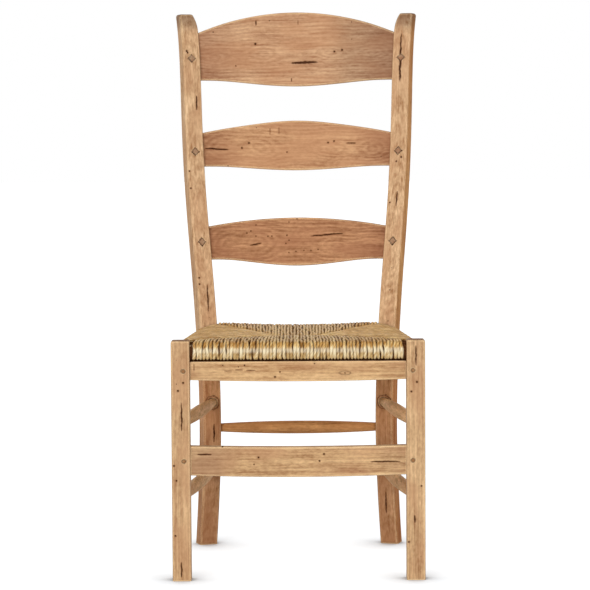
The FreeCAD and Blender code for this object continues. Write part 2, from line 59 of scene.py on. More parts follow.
# %% [markdown]
# ## Camera
# The chair is seen straight from the front, from far away and from a little below its top. A
# long lens from five metres keeps the posts upright. The camera could be aimed by a constraint,
# but a matrix shows the three turns plainly: pan, tilt and a trace of roll.

# %% Camera
PICTURE_PIXELS = 590
FOCAL_PIXELS = 2413.0                   # lens length measured in pixels of the picture
SENSOR = 36.0
CAMERA_PLACE = (0.0, -4.902, 0.890)
CHAIR_PIXELS = 2.6                      # the chair stands this far right of the picture's middle
TILT_DOWN = math.radians(4.15)
ROLL = math.radians(-0.33)
camera_data = bpy.data.cameras.new("camera")
camera_data.sensor_width = SENSOR
camera_data.lens = SENSOR * FOCAL_PIXELS / PICTURE_PIXELS
camera = bpy.data.objects.new("camera", camera_data)
pan = Matrix.Rotation(CHAIR_PIXELS / FOCAL_PIXELS, 4, "Z")
tilt = Matrix.Rotation(math.pi / 2 - TILT_DOWN, 4, "X")
camera.matrix_world = Matrix.Translation(CAMERA_PLACE) @ pan @ tilt @ Matrix.Rotation(ROLL, 4, "Z")
scene.collection.objects.link(camera)
scene.camera = camera
print("lens", round(camera_data.lens, 1), "mm")

# %% [markdown]
# ## Light
# A large soft key lamp stands in front, a little to the left and not much higher than the
# chair, so the front faces are bright and the tops stay calm. A weaker lamp fills the right
# side, and a third one lights the back, which the picture doesn't show. Sun lamps with a wide
# angle give the soft edge of a big diffuser, and light the floor evenly all the way out, which
# an area lamp would not.

# %% Lamps
def soft_lamp(name, towards_lamp, strength, angle):
    """A sun lamp as wide as a studio diffuser. towards_lamp points from the chair to it."""
    lamp_data = bpy.data.lights.new(name, "SUN")
    lamp_data.energy = strength
    lamp_data.angle = math.radians(angle)
    lamp = bpy.data.objects.new(name, lamp_data)
    lamp.rotation_mode = "QUATERNION"
    lamp.rotation_quaternion = Vector(towards_lamp).to_track_quat("Z", "Y")
    scene.collection.objects.link(lamp)


soft_lamp("key_lamp", (-0.35, -1.0, 0.28), 1.95, 40)
soft_lamp("fill_lamp", (0.80, -0.8, 0.25), 0.78, 60)
soft_lamp("back_lamp", (0.0, 1.0, 0.10), 0.55, 60)
print("lamps:", [lamp.name for lamp in bpy.data.lights])

# %% [markdown]
# ## Small tools for node trees
# Every material below is built from nodes. A few helpers keep the cells short: one adds a node
# and feeds its inputs, some do sums, one mixes colours. A socket or a plain number can be
# given to any of them.

# %% Node helpers
def feed(tree, socket, value):
    """Joins a socket to another one, or sets it to a plain value."""
    if isinstance(value, bpy.types.NodeSocket):
        tree.links.new(value, socket)
    else:
        socket.default_value = value


def add_node(tree, kind, inputs, **settings):
    """Adds a node, changes its settings and feeds the inputs, which are named or numbered."""
    node = tree.nodes.new(kind)
    for name, value in settings.items():
        setattr(node, name, value)
    for key, value in inputs.items():
        feed(tree, node.inputs[key], value)
    return node


def new_material(name):
    """A material, its node tree and its main shader."""
    material = bpy.data.materials.new(name)
    material.use_nodes = True
    return material, material.node_tree, material.node_tree.nodes["Principled BSDF"]


def screen_colour(red, green, blue):
    """A colour as it shows on a screen, from 0 to 255, as the linear colour of a shader."""
    linear = [((part / 255 + 0.055) / 1.055) ** 2.4 for part in (red, green, blue)]
    return (*linear, 1.0)


print("a middle grey is", screen_colour(128, 128, 128))

# %% Sums in a node tree
def calc(tree, operation, first, second=0.0, clamp=False):
    """One sum of two numbers."""
    node = add_node(tree, "ShaderNodeMath", {0: first, 1: second}, operation=operation,
                    use_clamp=clamp)
    return node.outputs[0]


def plus(tree, first, second):
    """Adds two numbers."""
    return calc(tree, "ADD", first, second)


def minus(tree, first, second):
    """Takes the second number from the first."""
    return calc(tree, "SUBTRACT", first, second)


def times(tree, first, second):
    """Multiplies two numbers."""
    return calc(tree, "MULTIPLY", first, second)


def size_of(tree, value):
    """A number without its sign."""
    return calc(tree, "ABSOLUTE", value)


def flipped(tree, mask):
    """1 where the mask is 0, and 0 where it is 1."""
    return minus(tree, 1.0, mask)


def centred(tree, value):
    """Moves a value between 0 and 1 to between -0.5 and 0.5."""
    return minus(tree, value, 0.5)


def diagonal(tree, first, second):
    """The long side over two sides that meet at a right angle."""
    return calc(tree, "SQRT", plus(tree, times(tree, first, first), times(tree, second, second)))


print("helpers for sums ready")

# %% Places, patterns and colours in a node tree
def vector_calc(tree, operation, first, second=(0.0, 0.0, 0.0)):
    """One sum of two places or directions. A length or a dot product comes out as a number."""
    node = add_node(tree, "ShaderNodeVectorMath", {0: first, 1: second}, operation=operation)
    return node.outputs["Value" if operation in ("LENGTH", "DOT_PRODUCT") else "Vector"]


def separate(tree, vector):
    """The X, Y and Z parts of a place or direction."""
    return add_node(tree, "ShaderNodeSeparateXYZ", {0: vector}).outputs


def facing_parts(tree):
    """The X, Y and Z parts of the direction that the surface faces."""
    return separate(tree, tree.nodes.new("ShaderNodeNewGeometry").outputs["Normal"])


def object_place(tree):
    """The place on the chair in metres, because every piece has the chair's own origin."""
    return tree.nodes.new("ShaderNodeTexCoord").outputs["Object"]


def ramp(tree, value, low, high):
    """0 below low and 1 above high, with a smooth rise between them."""
    node = add_node(tree, "ShaderNodeMapRange", {"Value": value, "From Min": low, "From Max": high},
                    interpolation_type="SMOOTHSTEP")
    return node.outputs["Result"]


def mix_colour(tree, share, first, second, blend="MIX"):
    """Mixes two colours, where share is 0 for the first one and 1 for the second."""
    node = add_node(tree, "ShaderNodeMix", {0: share, 6: first, 7: second}, data_type="RGBA",
                    blend_type=blend)
    return node.outputs[2]


def noise(tree, place, stretch, detail=2.0, roughness=0.5):
    """Cloudy noise from 0 to 1. stretch is how many times it repeats in a metre, each way."""
    scaled = vector_calc(tree, "MULTIPLY", place, stretch)
    node = add_node(tree, "ShaderNodeTexNoise", {"Vector": scaled, "Scale": 1.0,
                                                 "Detail": detail, "Roughness": roughness})
    return node.outputs["Fac"]


print("helpers for patterns ready")

# %% [markdown]
# ## White room
# The background is plain white. Turning up the lamps until the floor clips would also bleach
# the wood, so the white is only shown to camera, mirror and glass rays, by a Light Path node.
# The lit part of the floor still takes the chair's faint shadow. The glow itself gives way close to
# the feet, where ambient occlusion finds them, and so paints a soft shadow round each foot.

# %% Room
ROOM_LIGHT = 0.36
WHITE = (1.0, 1.0, 1.0, 1.0)


def seen_directly(tree):
    """1 for rays from the camera, mirrors and glass, and 0 for the light that falls on things."""
    rays = tree.nodes.new("ShaderNodeLightPath").outputs
    value = calc(tree, "MAXIMUM", rays["Is Camera Ray"], rays["Is Glossy Ray"])
    return calc(tree, "MAXIMUM", value, rays["Is Transmission Ray"])


world = bpy.data.worlds.new("white_room")
scene.world = world
world.use_nodes = True
tree = world.node_tree
strength = add_node(tree, "ShaderNodeMapRange", {"Value": seen_directly(tree), "To Min": ROOM_LIGHT})
feed(tree, tree.nodes["Background"].inputs["Color"], WHITE)
feed(tree, tree.nodes["Background"].inputs["Strength"], strength.outputs["Result"])
scene.view_settings.view_transform = "Standard"
print("room light", ROOM_LIGHT)

# %% Floor
FLOOR_SIZE = 60.0
FLOOR_WHITE = (0.72, 0.76, 0.80, 1.0)   # a little blue, because the light off the wood is warm
FLOOR_GLOW = 0.70                       # lifts the lit floor to white for the camera
GLOW_AT_FEET = 0.07                     # what is left of it right beside a foot
FOOT_REACH = 0.10                       # how far from a foot the glow gives way
CLOSED_IN = 0.55                        # the open share of the sky right beside a foot
half_floor = FLOOR_SIZE / 2
floor_mesh = bpy.data.meshes.new("floor")
floor_mesh.from_pydata([(-half_floor, -half_floor, 0.0), (half_floor, -half_floor, 0.0),
                        (half_floor, half_floor, 0.0), (-half_floor, half_floor, 0.0)],
                       [], [(0, 1, 2, 3)])
floor = bpy.data.objects.new("floor", floor_mesh)
scene.collection.objects.link(floor)

floor_material, tree, shader = new_material("floor_white")
shader.inputs["Base Color"].default_value = FLOOR_WHITE
shader.inputs["Roughness"].default_value = 0.9
shader.inputs["Specular IOR Level"].default_value = 0.0
# Painted shadow: the glow fades near the feet.
near_feet = add_node(tree, "ShaderNodeAmbientOcclusion", {"Distance": FOOT_REACH})
glow_with_foot_shadow = add_node(tree, "ShaderNodeMapRange",
                      {"Value": near_feet.outputs["AO"], "From Min": CLOSED_IN,
                       "To Min": GLOW_AT_FEET, "To Max": FLOOR_GLOW})
shown = times(tree, seen_directly(tree), glow_with_foot_shadow.outputs["Result"])
glow = add_node(tree, "ShaderNodeEmission", {"Color": WHITE, "Strength": shown})
both = add_node(tree, "ShaderNodeAddShader", {0: shader.outputs["BSDF"], 1: glow.outputs["Emission"]})
feed(tree, tree.nodes["Material Output"].inputs["Surface"], both.outputs["Shader"])
floor_mesh.materials.append(floor_material)
print("floor", FLOOR_SIZE, "m wide")

# %% [markdown]
# ## Effects that the woods share
# Grain, worn edges, grime and painted shade in the corners, and marks appear in many materials. Each
# is built once as a node group with named inputs, and every material places it with its own values.

# %% New group
def new_group(name, inputs, outputs):
    """An empty node group with named sockets: inputs are (name, kind, start value)."""
    group = bpy.data.node_groups.new(name, "ShaderNodeTree")
    for title, kind, start in inputs:
        socket = group.interface.new_socket(title, in_out="INPUT", socket_type=kind)
        socket.default_value = start
    for title, kind in outputs:
        group.interface.new_socket(title, in_out="OUTPUT", socket_type=kind)
    start = group.nodes.new("NodeGroupInput")
    end = group.nodes.new("NodeGroupOutput")
    return group, start.outputs, end.inputs


NUMBER = "NodeSocketFloat"
VECTOR = "NodeSocketVector"
COLOUR = "NodeSocketColor"
GREY = (0.5, 0.5, 0.5, 1.0)
PLACE = ("Place", VECTOR, (0.0, 0.0, 0.0))
MIDDLE = ("Middle", VECTOR, (0.0, 0.0, 0.0))
print("kinds of socket:", NUMBER, VECTOR, COLOUR)

# %% [markdown]
# ## Wood grain
# Real grain is a stack of rings round the heart of the tree, cut by the board's faces. A ring
# pattern round a line that lies behind the board gives straight lines on one face and arches
# on the next. Where that line comes nearer to the face, the rings close into ovals. Fine fibres
# and broad streaks run along the board, and two larger clouds change the tone and add the pink
# blush of old pine.

# %% Group: wood grain
HEART_BEHIND = 0.055                    # the heart of the tree lies this far behind the board
SIDE_WANDER = 0.050                     # the heart wanders, sideways and in depth
DEPTH_WANDER = 0.030
ARCH_REACH = 0.10                       # half the length of an arch in the grain
LATE_RISE, LATE_FALL = (0.10, 0.62), (0.72, 1.0)    # late wood darkens slowly and ends sharply
LATE_DARK = 0.34                        # how much darker it is at full figure
MIDDLE_TONE = 0.60
grain_group, given, result = new_group(
    "wood grain",
    [PLACE, ("Light", COLOUR, GREY), ("Dark", COLOUR, GREY), ("Blush", COLOUR, GREY),
     ("Ring Width", NUMBER, 0.005), ("Figure", NUMBER, 0.5), ("Seed", NUMBER, 0.0),
     ("Arch", NUMBER, 0.0), ("Arch Middle", NUMBER, 0.12)],
    [("Colour", COLOUR), ("Height", NUMBER), ("Tone", NUMBER)])
g = grain_group
shift = add_node(g, "ShaderNodeCombineXYZ",
                 {axis: times(g, given["Seed"], step) for axis, step in enumerate((1.7, 2.3, 0.9))})
seeded = vector_calc(g, "ADD", given["Place"], shift.outputs[0])
wander = centred(g, noise(g, seeded, (9.0, 9.0, 2.5)))
side, back, along = separate(g, given["Place"])
off_side = plus(g, side, times(g, wander, SIDE_WANDER))
off_back = plus(g, plus(g, back, -HEART_BEHIND), times(g, wander, DEPTH_WANDER))
from_arch = minus(g, size_of(g, along), given["Arch Middle"])
arch = flipped(g, ramp(g, size_of(g, from_arch), 0.0, ARCH_REACH))
off_back = plus(g, off_back, times(g, arch, given["Arch"]))
ring = calc(g, "FRACT", calc(g, "DIVIDE", diagonal(g, off_side, off_back), given["Ring Width"]))
late_wood = times(g, ramp(g, ring, *LATE_RISE), flipped(g, ramp(g, ring, *LATE_FALL)))
fibre = noise(g, seeded, (420.0, 420.0, 12.0), 2.0, 0.6)
streak = noise(g, seeded, (130.0, 130.0, 4.0), 3.0, 0.6)
cloud = noise(g, seeded, (38.0, 38.0, 15.0), 3.0, 0.55)
mottle = noise(g, seeded, (240.0, 240.0, 100.0), 3.0, 0.65)
tone = plus(g, times(g, late_wood, times(g, given["Figure"], -LATE_DARK)), MIDDLE_TONE)
height = 0.0                            # the same parts also make the surface uneven, in metres
for part, weight, depth in ((fibre, 0.9, 0.00012), (streak, 1.3, 0.00020), (mottle, 1.1, 0.00025),
                            (cloud, 0.9, 0.00050)):
    tone = plus(g, tone, times(g, centred(g, part), weight))
    height = plus(g, height, times(g, part, depth))
tone = calc(g, "MAXIMUM", calc(g, "MINIMUM", tone, 1.0), 0.0)
body = mix_colour(g, tone, given["Dark"], given["Light"])
blush_cloud = ramp(g, noise(g, seeded, (22.0, 22.0, 8.0), 3.0), 0.42, 0.62)
body = mix_colour(g, times(g, blush_cloud, 0.5), body, given["Blush"])
feed(g, result["Colour"], body)
feed(g, result["Height"], height)
feed(g, result["Tone"], tone)
print("wood grain:", len(g.nodes), "nodes")

# %% [markdown]
# ## Worn edges
# Hands and cloths rub the wax off the corners, so a light line runs along every long edge. The
# Bevel node knows where an edge is near: its rounded normal turns away from the true one. Small
# pieces such as pegs need a small radius, or their whole face counts as an edge.

# %% Group: edge wear
EDGE_TURN = (0.002, 0.03)               # the normal's turn where wear starts and where it is full
edge_group, given, result = new_group("edge wear", [PLACE, ("Radius", NUMBER, 0.005)],
                                      [("Edge", NUMBER)])
g = edge_group
bevel = add_node(g, "ShaderNodeBevel", {"Radius": given["Radius"]}, samples=8)
true_normal = g.nodes.new("ShaderNodeNewGeometry").outputs["Normal"]
likeness = vector_calc(g, "DOT_PRODUCT", bevel.outputs[0], true_normal)
near_edge = ramp(g, flipped(g, likeness), *EDGE_TURN)
broken = ramp(g, noise(g, given["Place"], (60.0, 60.0, 22.0), 3.0, 0.6), 0.22, 0.52)
feed(g, result["Edge"], times(g, near_edge, broken))
print("edge wear:", len(g.nodes), "nodes")

# %% [markdown]
# ## Grime and painted shade in the corners
# Old wax and dust settle where pieces meet, and shade falls there too. Ambient occlusion is dark in
# exactly those places, so its inverse makes one mask that paints both the grime and the shade.

# %% Group: settled grime and painted shade
SHUT_IN = (0.18, 0.85)                  # the hidden share of the sky, from clean and lit to grimy and shaded
grime_and_shade_group, given, result = new_group("settled grime and shade", [("Reach", NUMBER, 0.010)],
                                      [("Grime and Shade", NUMBER)])
g = grime_and_shade_group
corner = add_node(g, "ShaderNodeAmbientOcclusion", {"Distance": given["Reach"]}, samples=8)
feed(g, result["Grime and Shade"], ramp(g, flipped(g, corner.outputs["AO"]), *SHUT_IN))
print("settled grime and shade:", len(g.nodes), "nodes")

# %% [markdown]
# ## Holes and splits
# The wood is old: it has beetle holes, nail holes and drying splits. A hole is a small disc
# round a point of the board's face, and a split is a thin lens that wavers. Both are masks, and
# the material below darkens and sinks them. A third group scatters tiny holes over every face,
# also those that the picture doesn't show.

# %% Group: hole
IN_FACE = (1.0, 0.0, 1.0)               # keeps the way across and up a face, and drops the depth
RAGGED = 0.0016                         # how far a hole's rim strays from a circle
hole_group, given, result = new_group("hole", [PLACE, MIDDLE, ("Radius", NUMBER, 0.0015)],
                                      [("Mask", NUMBER), ("Stain", NUMBER)])
g = hole_group
away = vector_calc(g, "SUBTRACT", given["Place"], given["Middle"])
distance = vector_calc(g, "LENGTH", vector_calc(g, "MULTIPLY", away, IN_FACE))
ragged = times(g, centred(g, noise(g, given["Place"], (500.0,) * 3)), RAGGED)
share = calc(g, "DIVIDE", plus(g, distance, ragged), given["Radius"])
feed(g, result["Mask"], flipped(g, ramp(g, share, 0.6, 1.2)))
feed(g, result["Stain"], flipped(g, ramp(g, share, 0.8, 2.4)))
print("hole:", len(g.nodes), "nodes")

# %% Group: split
STAIN_REACH = 0.0022                    # the stain reaches this far past a split
split_group, given, result = new_group(
    "split", [PLACE, MIDDLE, ("Angle", NUMBER, 0.0), ("Half Length", NUMBER, 0.03),
              ("Half Width", NUMBER, 0.001), ("Waver", NUMBER, 0.002)],
    [("Mask", NUMBER), ("Stain", NUMBER)])
g = split_group
away = vector_calc(g, "SUBTRACT", given["Place"], given["Middle"])
turned = add_node(g, "ShaderNodeVectorRotate", {"Vector": away, "Angle": given["Angle"]},
                  rotation_type="Y_AXIS").outputs[0]
along, _, across = separate(g, turned)
on_face = vector_calc(g, "MULTIPLY", given["Place"], IN_FACE)
waver = centred(g, noise(g, on_face, (70.0,) * 3, 2.0, 0.6))
across = plus(g, across, times(g, waver, given["Waver"]))
inside = calc(g, "DIVIDE", along, given["Half Length"])
lens = calc(g, "MAXIMUM", flipped(g, times(g, inside, inside)), 0.0)
uneven = plus(g, noise(g, on_face, (190.0,) * 3, 1.0), 0.45)
width = times(g, times(g, calc(g, "SQRT", lens), uneven), given["Half Width"])
margin = minus(g, width, size_of(g, across))
feed(g, result["Mask"], ramp(g, margin, 0.0, 0.0005))
near_end = ramp(g, lens, 0.0, 0.25)
feed(g, result["Stain"], times(g, near_end, ramp(g, margin, -STAIN_REACH, 0.0002)))
print("split:", len(g.nodes), "nodes")

# %% Group: scattered holes
HOLES_PER_METRE = 34.0                  # if every cell of the pattern had its hole
SIDE_FACING = 0.7
SMALLEST, SPREAD = 0.020, 0.030         # the holes' sizes, as shares of a cell
scatter_group, given, result = new_group(
    "scattered holes", [PLACE, ("Seed", NUMBER, 0.0), ("Amount", NUMBER, 0.25)],
    [("Mask", NUMBER)])
g = scatter_group
sideways = calc(g, "GREATER_THAN", size_of(g, facing_parts(g)[0]), SIDE_FACING)
side, back, high = separate(g, given["Place"])
across = add_node(g, "ShaderNodeMix", {0: sideways, 2: side, 3: back}).outputs[0]
on_face = add_node(g, "ShaderNodeCombineXYZ", {0: across, 1: plus(g, high, given["Seed"])})
cells = add_node(g, "ShaderNodeTexVoronoi", {"Vector": on_face.outputs[0], "Scale": HOLES_PER_METRE},
                 voronoi_dimensions="2D")
chance = add_node(g, "ShaderNodeSeparateColor", {0: cells.outputs["Color"]}).outputs
there = calc(g, "LESS_THAN", chance[0], given["Amount"])
reach = plus(g, times(g, chance[1], SPREAD), SMALLEST)
disc = flipped(g, ramp(g, calc(g, "DIVIDE", cells.outputs["Distance"], reach), 0.6, 1.1))
feed(g, result["Mask"], times(g, there, disc))
print("scattered holes:", len(g.nodes), "nodes")

# %% [markdown]
# ## Darker ends and tops
# Parts of a board are darker than the rest: the slats near the posts, the tops of the posts
# where hands hold them. A wash is a smooth mask along one direction.

# %% Group: wash
CLOUDY = 0.030                          # how far the border of a wash wanders
wash_group, given, result = new_group(
    "wash", [PLACE, ("Direction", VECTOR, (0.0, 0.0, 1.0)), ("From", NUMBER, 0.0),
             ("To", NUMBER, 1.0)], [("Mask", NUMBER)])
g = wash_group
reach = vector_calc(g, "DOT_PRODUCT", given["Place"], given["Direction"])
cloud = times(g, centred(g, noise(g, given["Place"], (30.0,) * 3, 3.0)), CLOUDY)
feed(g, result["Mask"], ramp(g, plus(g, reach, cloud), given["From"], given["To"]))
print("wash:", len(g.nodes), "nodes")

# %% [markdown]
# ## Rings round the pegs and knots
# Each peg was driven into a hole that is never quite tight, and wax darkens that line. A ring
# mask draws it, corner up for square heads and round for round ones. The same mask, larger and
# more ragged, makes the swirl of dark grain round a knot, or an eye in the grain if it is long.

# %% Group: ring
ring_group, given, result = new_group(
    "ring", [PLACE, MIDDLE, ("Reach", NUMBER, 0.008), ("Width", NUMBER, 0.001),
             ("Round", NUMBER, 0.0), ("Ragged", NUMBER, 0.001), ("Long", NUMBER, 1.0)],
    [("Mask", NUMBER), ("Inside", NUMBER)])
g = ring_group
side, _, high = separate(g, vector_calc(g, "SUBTRACT", given["Place"], given["Middle"]))
side = calc(g, "DIVIDE", size_of(g, side), given["Long"])
high = size_of(g, high)
square = plus(g, side, high)
circle = diagonal(g, side, high)
outward = add_node(g, "ShaderNodeMix", {0: given["Round"], 2: square, 3: circle}).outputs[0]
uneven = centred(g, noise(g, given["Place"], (170.0,) * 3, 2.0, 0.6))
outward = plus(g, outward, times(g, uneven, given["Ragged"]))
off_line = size_of(g, minus(g, outward, given["Reach"]))
strength = plus(g, times(g, noise(g, given["Place"], (240.0,) * 3, 1.0), 1.4), 0.15)
line = flipped(g, ramp(g, calc(g, "DIVIDE", off_line, given["Width"]), 0.4, 1.3))
feed(g, result["Mask"], calc(g, "MULTIPLY", line, strength, clamp=True))
inside = calc(g, "DIVIDE", outward, given["Reach"])
feed(g, result["Inside"], flipped(g, ramp(g, inside, 0.9, 1.6)))
print("ring:", len(g.nodes), "nodes")

# %% [markdown]
# ## The finished wood
# One function builds a wood material for one piece, because each piece of a real chair is cut
# from another board: its own grain, its own marks. The grain runs along Z in the group, so the
# piece says how to turn its own place into that. Marks are given in millimetres on the face.

# %% Colours of marks and wear
DARK_MARK = screen_colour(58, 29, 14)
STAIN = screen_colour(136, 82, 48)
# grime together with painted shade where pieces meet
GRIME_AND_SHADE = screen_colour(92, 55, 32)
WORN = screen_colour(250, 216, 166)
END_GRAIN = screen_colour(176, 158, 142)


def shades(light, dark, blush):
    """The three colours of one wood: its body, its late wood and the clouds in it."""
    return [screen_colour(*colour) for colour in (light, dark, blush)]


print("colours of wear ready")

# %% Marks on the front of a piece
HOLE_SCALE = 1.35                       # a hole's mask fades, so it is drawn larger than it is
SPLIT_SCALE = 1.3                       # the same for a split


def use_group(tree, group, **values):
    """Places a node group and feeds its inputs: underscores in a name stand for spaces."""
    node = tree.nodes.new("ShaderNodeGroup")
    node.node_tree = group
    for name, value in values.items():
        feed(tree, node.inputs[name.replace("_", " ")], value)
    return node.outputs


def front_marks(tree, own, holes, splits, rings):
    """Two masks of the listed marks: the dark marks themselves, and the stain round them.

    A mark starts with its place across and up the face. Then a hole has its radius, a split
    its angle in degrees, half length, half width and waver, and a ring its reach, line width,
    roundness, raggedness, stretch and strength. Lengths are in millimetres.
    """
    marks, stains = 0.0, 0.0
    masks = [use_group(tree, hole_group, Place=own, Middle=(x * MM, 0.0, z * MM),
                       Radius=HOLE_SCALE * radius * MM) for x, z, radius in holes]
    masks += [use_group(tree, split_group, Place=own, Middle=(x * MM, 0.0, z * MM),
                        Angle=math.radians(angle), Half_Length=half_length * MM,
                        Half_Width=SPLIT_SCALE * half_width * MM, Waver=waver * MM)
              for x, z, angle, half_length, half_width, waver in splits]
    for mask in masks:
        marks = calc(tree, "MAXIMUM", mask["Mask"], marks)
        stains = calc(tree, "MAXIMUM", mask["Stain"], stains)
    for x, z, reach, width, roundness, ragged, long, strength in rings:
        mask = use_group(tree, ring_group, Place=own, Middle=(x * MM, 0.0, z * MM),
                         Reach=reach * MM, Width=width * MM, Round=roundness, Ragged=ragged * MM,
                         Long=long)
        marks = calc(tree, "MAXIMUM", times(tree, mask["Mask"], strength), marks)
        stains = calc(tree, "MAXIMUM", times(tree, mask["Inside"], 0.6 * strength), stains)
    return marks, stains


print("marks are drawn", HOLE_SCALE, "and", SPLIT_SCALE, "times as large")

# %% Wood material
TURN_TO_Z = {"Z": (0.0, 0.0, 0.0), "X": (0.0, math.pi / 2, 0.0), "Y": (math.pi / 2, 0.0, 0.0)}
WAXED_ROUGHNESS = 0.58
MARK_ROUGHNESS = 0.35                   # what a hole or split adds to it
MARK_DEPTH = 0.0012
FACING_FRONT = (0.45, 0.75)             # marks fade out as the surface turns to the side


def wood(name, colours, grain="Z", turn=0.0, offset=(0.0, 0.0, 0.0), ring_width=0.005, figure=0.5,
         seed=0.0, arch=0.0, depth_scale=1.0, holes=(), splits=(), rings=(), washes=(),
         side_shade=None, worn=0.8, edge_colour=WORN, edge_radius=0.005, grime_and_shade=0.75, scatter=0.10):
    """An aged wood: turn and offset bring the place into the piece's own frame.

    A curved board takes a small depth_scale, so that its grain follows the curve. A wash has
    its direction, where it starts and is full, its tint and its amount.
    """
    material, tree, shader = new_material(name)
    own = add_node(tree, "ShaderNodeMapping", {"Vector": object_place(tree), "Location": offset,
                                               "Rotation": (0.0, 0.0, turn)}).outputs[0]
    along = add_node(tree, "ShaderNodeMapping",
                     {"Vector": own, "Rotation": TURN_TO_Z[grain],
                      "Scale": (1.0, depth_scale, 1.0)}).outputs[0]
    light, dark, blush = colours
    pattern = use_group(tree, grain_group, Place=along, Light=light, Dark=dark, Blush=blush,
                        Ring_Width=ring_width, Figure=figure, Seed=seed, Arch=arch)
    facing = facing_parts(tree)
    cut_across = ramp(tree, size_of(tree, facing["XYZ".index(grain)]), 0.5, 0.9)
    colour = mix_colour(tree, cut_across, pattern["Colour"], END_GRAIN, "MULTIPLY")
    # Painted shade: faces turned to the right are darker, as the key lamp lights them less.
    if side_shade:
        right_side = ramp(tree, facing[0], 0.5, 0.8)
        colour = mix_colour(tree, right_side, colour, side_shade, "MULTIPLY")
    for direction, start, end, tint, amount in washes:
        mask = use_group(tree, wash_group, Place=own, Direction=direction, From=start,
                         To=end)["Mask"]
        colour = mix_colour(tree, times(tree, mask, amount), colour, tint, "MULTIPLY")
    edge = use_group(tree, edge_group, Place=along, Radius=edge_radius)["Edge"]
    colour = mix_colour(tree, times(tree, edge, worn), colour, edge_colour)
    # Grime and painted shade where pieces meet, from ambient occlusion.
    corner = use_group(tree, grime_and_shade_group)["Grime and Shade"]
    colour = mix_colour(tree, times(tree, corner, grime_and_shade), colour, GRIME_AND_SHADE)

    front = ramp(tree, times(tree, facing[1], -1.0), *FACING_FRONT)
    marks, stains = front_marks(tree, own, holes, splits, rings)
    tiny = use_group(tree, scatter_group, Place=own, Seed=seed, Amount=scatter)["Mask"]
    marks = calc(tree, "MAXIMUM", times(tree, front, marks), tiny)
    stains = times(tree, front, stains)
    colour = mix_colour(tree, times(tree, stains, 0.45), colour, STAIN)
    colour = mix_colour(tree, times(tree, marks, 0.92), colour, DARK_MARK)
    feed(tree, shader.inputs["Base Color"], colour)

    sheen = times(tree, minus(tree, 0.5, pattern["Tone"]), 0.16)
    rough = plus(tree, plus(tree, sheen, WAXED_ROUGHNESS), times(tree, marks, MARK_ROUGHNESS))
    feed(tree, shader.inputs["Roughness"], rough)
    sunk = minus(tree, pattern["Height"], times(tree, marks, MARK_DEPTH))
    bump = add_node(tree, "ShaderNodeBump", {"Height": sunk, "Strength": 0.8, "Distance": 1.0})
    feed(tree, shader.inputs["Normal"], bump.outputs[0])
    shader.inputs["Specular IOR Level"].default_value = 0.04
    return material


def dress(node_name, material):
    """Gives a piece of the frame its finish."""
    nodes[node_name].data.materials.clear()
    nodes[node_name].data.materials.append(material)


print("wood material ready")

# %% [markdown]
# ## Front legs
# Two square legs of honey-coloured wood with a pinker heart. The grain is upright. The marks
# were read off the photographed legs, in millimetres from the chair's middle and the floor.

# %% Front legs
HONEY = shades((228, 190, 144), (154, 110, 74), (190, 142, 104))
LEG_PEG_X = 221.0
APRON_PEG_Z, STRETCHER_PEG_Z = 408.5, 233.8


def round_pegs(side):
    """The lines round the two round pegs of the left (-1) or right (1) leg."""
    return [(side * LEG_PEG_X, z, 4.4, 0.7, 1.0, 1.5, 1.0, 0.75)
            for z in (APRON_PEG_Z, STRETCHER_PEG_Z)]


left_leg = wood("left_leg_wood", HONEY, seed=3.1, figure=0.4, rings=round_pegs(-1),
                holes=[(-221.5, 386.2, 1.4), (-231.3, 370.8, 1.5), (-240.4, 225.3, 1.3),
                       (-235.8, 196.1, 1.2), (-238.8, 88.9, 1.2)],
                splits=[(-225.0, 320.4, 90, 29.0, 1.2, 5.0), (-227.8, 22.4, 90, 15.7, 1.1, 5.0)])
right_leg = wood("right_leg_wood", HONEY, seed=8.4, figure=0.4, rings=round_pegs(1),
                 holes=[(228.8, 385.6, 1.5), (218.2, 367.2, 1.3), (237.1, 183.7, 1.2),
                        (212.7, 74.6, 1.3)],
                 splits=[(227.0, 436.8, 90, 20.3, 1.1, 4.0), (224.4, 119.4, 90, 7.8, 1.1, 1.5)])
dress("front_leg_left", left_leg)
dress("front_leg_right", right_leg)
print("front legs dressed")

# %% [markdown]
# ## Rear posts
# The posts are turned about their height, so their marks are given across the post's own face: 0 is
# its middle. Their tops are darkened by hands. Below the seat the wood is redder and darker, partly
# its own colour and partly painted shade under the seat, and it gets darker towards the feet. On the
# right post, the faces turned to the right are painted darker as shade. A dark swirl of grain
# surrounds the hole of the upper side stretcher.

# %% Where a post's face is
POST_TURN = math.radians(20.0)
POST_X = 0.184
POST_Y = 0.10842
PEG_LEVELS = (1020.5, 824.5, 636.0)
SIDE_STRETCHER_Z = 303.5
UP, DOWN = (0.0, 0.0, 1.0), (0.0, 0.0, -1.0)
LEFT, RIGHT = (-1.0, 0.0, 0.0), (1.0, 0.0, 0.0)


def post_frame(side):
    """The turn and offset that bring a place into the frame of the left (-1) or right (1) post."""
    turn = side * POST_TURN
    middle = Vector((-side * POST_X, -POST_Y, 0.0))
    return {"turn": turn, "offset": Matrix.Rotation(turn, 3, "Z") @ middle}


print("posts turned by", round(math.degrees(POST_TURN)), "degrees")

